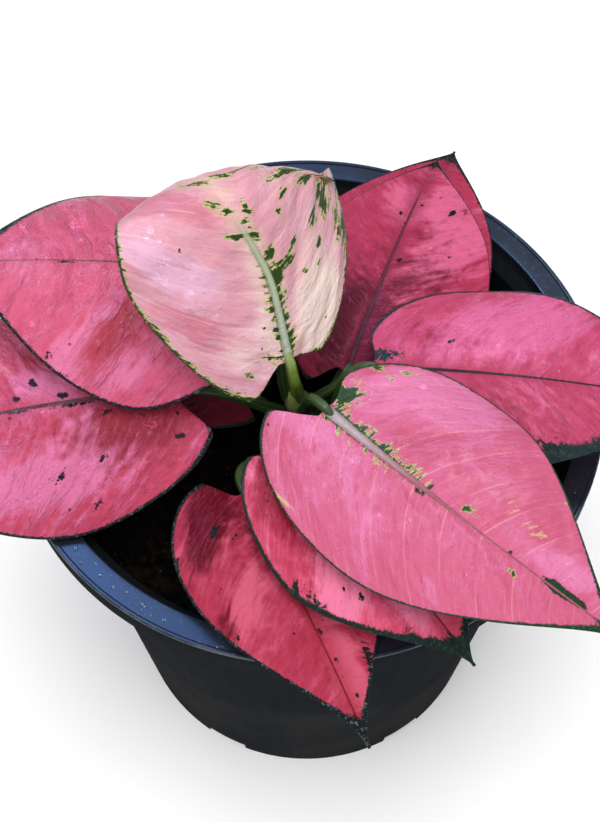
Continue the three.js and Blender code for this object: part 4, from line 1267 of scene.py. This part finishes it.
# Drops on the flange: the angle from +X, the distance in from the lip's edge and the radius in
# millimetres
RIM_DROPS = (
    (196, 4.0, 1.0), (199, 6.2, 0.7), (202.5, 3.2, 0.8), (206, 5.4, 1.2), (209, 4.0, 0.6),
    (213, 6.5, 0.9), (216, 3.4, 0.7), (221, 5.0, 1.0), (226, 6.4, 0.6), (232, 4.4, 0.8),
    (331, 4.8, 0.7), (20, 4.2, 0.8), (218, 6.6, 0.6), (224, 3.4, 0.8), (228.5, 4.8, 0.7),
    (230, 6.9, 0.5), (234.5, 5.6, 0.8), (236.5, 3.4, 0.5), (238.5, 5.2, 0.9), (241, 6.7, 0.5),
    (243.5, 4.0, 0.8), (246.5, 5.8, 0.5), (200.5, 7.4, 0.5), (211, 7.6, 0.6))
RIM_DROP_HEIGHT = 0.4


def make_drops(upper_faces):
    """Every drop in one piece of water, each on its own place."""
    places = []
    for name, spots in DROPS.items():
        upper, normal, rows, columns = upper_faces[name]
        for t, s, radius, height in spots:
            at = np.abs(rows - t).argmin(), np.abs(columns - s).argmin()
            places.append((upper[at], normal[at], radius, height))
    for angle, inset, radius in RIM_DROPS:
        centre = level_direction(angle) * (LIP_RADIUS - inset * MM) + (0, 0, RIM_HEIGHT - BEAD_HEIGHT)
        places.append((centre, np.array((0.0, 0.0, 1.0)), radius, RIM_DROP_HEIGHT))
    points, faces, count = [], [], 0
    for centre, normal, radius, height in places:
        drop_points, drop_faces = dome(centre, normal, radius * MM, radius * MM * height)
        points.append(drop_points)
        faces.append(drop_faces + count)
        count += len(drop_points)
    mesh = lay_mesh("water_drops", np.concatenate(points), np.concatenate(faces))
    add_piece(mesh, water_finish()).visible_shadow = False


# Studio ----------------------------------------------------------------------------------------

def aim(thing, eye, forward, upward):
    """Stands an object at a point so that it looks along forward with its top towards upward."""
    back = -unit(forward)
    right = unit(np.cross(upward, back))
    matrix = np.eye(4)
    matrix[:3] = np.stack((right, np.cross(back, right), back, eye), -1)
    thing.matrix_world = Matrix(matrix.tolist())


def make_camera():
    """The photograph's camera: above the front of the pot, looking down at the rim's centre."""
    elevation, pan, tilt = np.radians((CAMERA_ELEVATION, CAMERA_PAN, CAMERA_TILT))
    back = np.array((0, -np.cos(elevation), np.sin(elevation)))
    eye = np.array((0, 0, RIM_HEIGHT)) + back * CAMERA_DISTANCE
    forward, right = -back, np.array((1.0, 0, 0))
    up = np.cross(right, forward)
    forward = right * np.sin(pan) + forward * np.cos(pan)
    forward, up = up * np.sin(tilt) + forward * np.cos(tilt), up * np.cos(tilt) - forward * np.sin(tilt)
    data = bpy.data.cameras.new("photograph")
    data.sensor_width = SENSOR
    data.lens = FOCAL_PIXELS / IMAGE_HEIGHT_PIXELS * SENSOR
    camera = put("photograph", data)
    aim(camera, eye, forward, up)
    bpy.context.scene.camera = camera


def add_light(name, direction, distance, size, power, colour, seen_in_gloss=True, lights_up=True):
    """A square soft light that faces the rim's centre. A card with lights_up off shows only as a
    reflection, and seen_in_gloss off keeps a light out of the reflections."""
    data = bpy.data.lights.new(name, "AREA")
    data.size, data.energy, data.color = size, power, colour
    light = put(name, data)
    way = unit(np.array(direction, float))
    aim(light, np.array((0, 0, RIM_HEIGHT)) + way * distance, -way, np.array((0, 1.0, 0.01)))
    light.visible_glossy = seen_in_gloss
    light.visible_diffuse = lights_up


def make_studio():
    """A wide floor, a soft grey room and the lights."""
    size = FLOOR_HALF_SIZE
    corners = [(-size, -size, 0), (size, -size, 0), (size, size, 0), (-size, size, 0)]
    mesh = bpy.data.meshes.new("studio_floor")
    mesh.from_pydata(corners, [], [(0, 1, 2, 3)])
    mesh.materials.append(floor_finish())
    floor = put("studio_floor", mesh)
    world = bpy.data.worlds.new("soft_grey_room")
    world.use_nodes = True
    background = world.node_tree.nodes["Background"]
    background.inputs["Color"].default_value = (0.92, 0.95, 1.0, 1)
    background.inputs["Strength"].default_value = 0.36
    bpy.context.scene.world = world
    warm, white = (1.0, 0.985, 0.97), (1.0, 0.985, 0.98)
    add_light("front_softbox", (-0.15, -0.50, 0.86), 2.5, 2.3, 40, white, seen_in_gloss=False)
    add_light("overhead_softbox", (0, -0.05, 1), 2.2, 1.4, 36, warm, seen_in_gloss=False)
    add_light("blue_sky_card", (-0.42, 0.52, 0.85), 2.2, 1.5, 27, (0.22, 0.42, 1.0), lights_up=False)
    add_light("white_sky_card", (0.25, 0.30, 0.95), 2.2, 0.35, 7, (0.95, 0.97, 1.0), lights_up=False)
    add_light("left_glint_card", (-0.58, 0.36, 0.75), 2.2, 0.3, 8, (1.0, 0.98, 1.0), lights_up=False)
    bpy.context.scene.view_settings.view_transform = "Standard"


make_pot()
make_soil()
make_cane()
light_stalk = stalk_finish(
    "light_green_stalk", (0.085, 0.15, 0.014), (0.17, 0.27, 0.045), 1, (0.22, 0.30, 0.12))
dark_stalk = stalk_finish(
    "dark_green_stalk", (0.012, 0.035, 0.008), (0.050, 0.090, 0.020), 4, (0.045, 0.060, 0.030))
upper_faces = {}
for number, (leaf_name, own) in enumerate(LEAVES.items()):
    leaf = USUAL_LEAF | own
    upper_faces[leaf_name] = make_blade(leaf_name, leaf, number + 1)
    make_stalk(leaf_name, leaf, light_stalk if number == 0 else dark_stalk)
make_sheath()
make_drops(upper_faces)
make_studio()
make_camera()
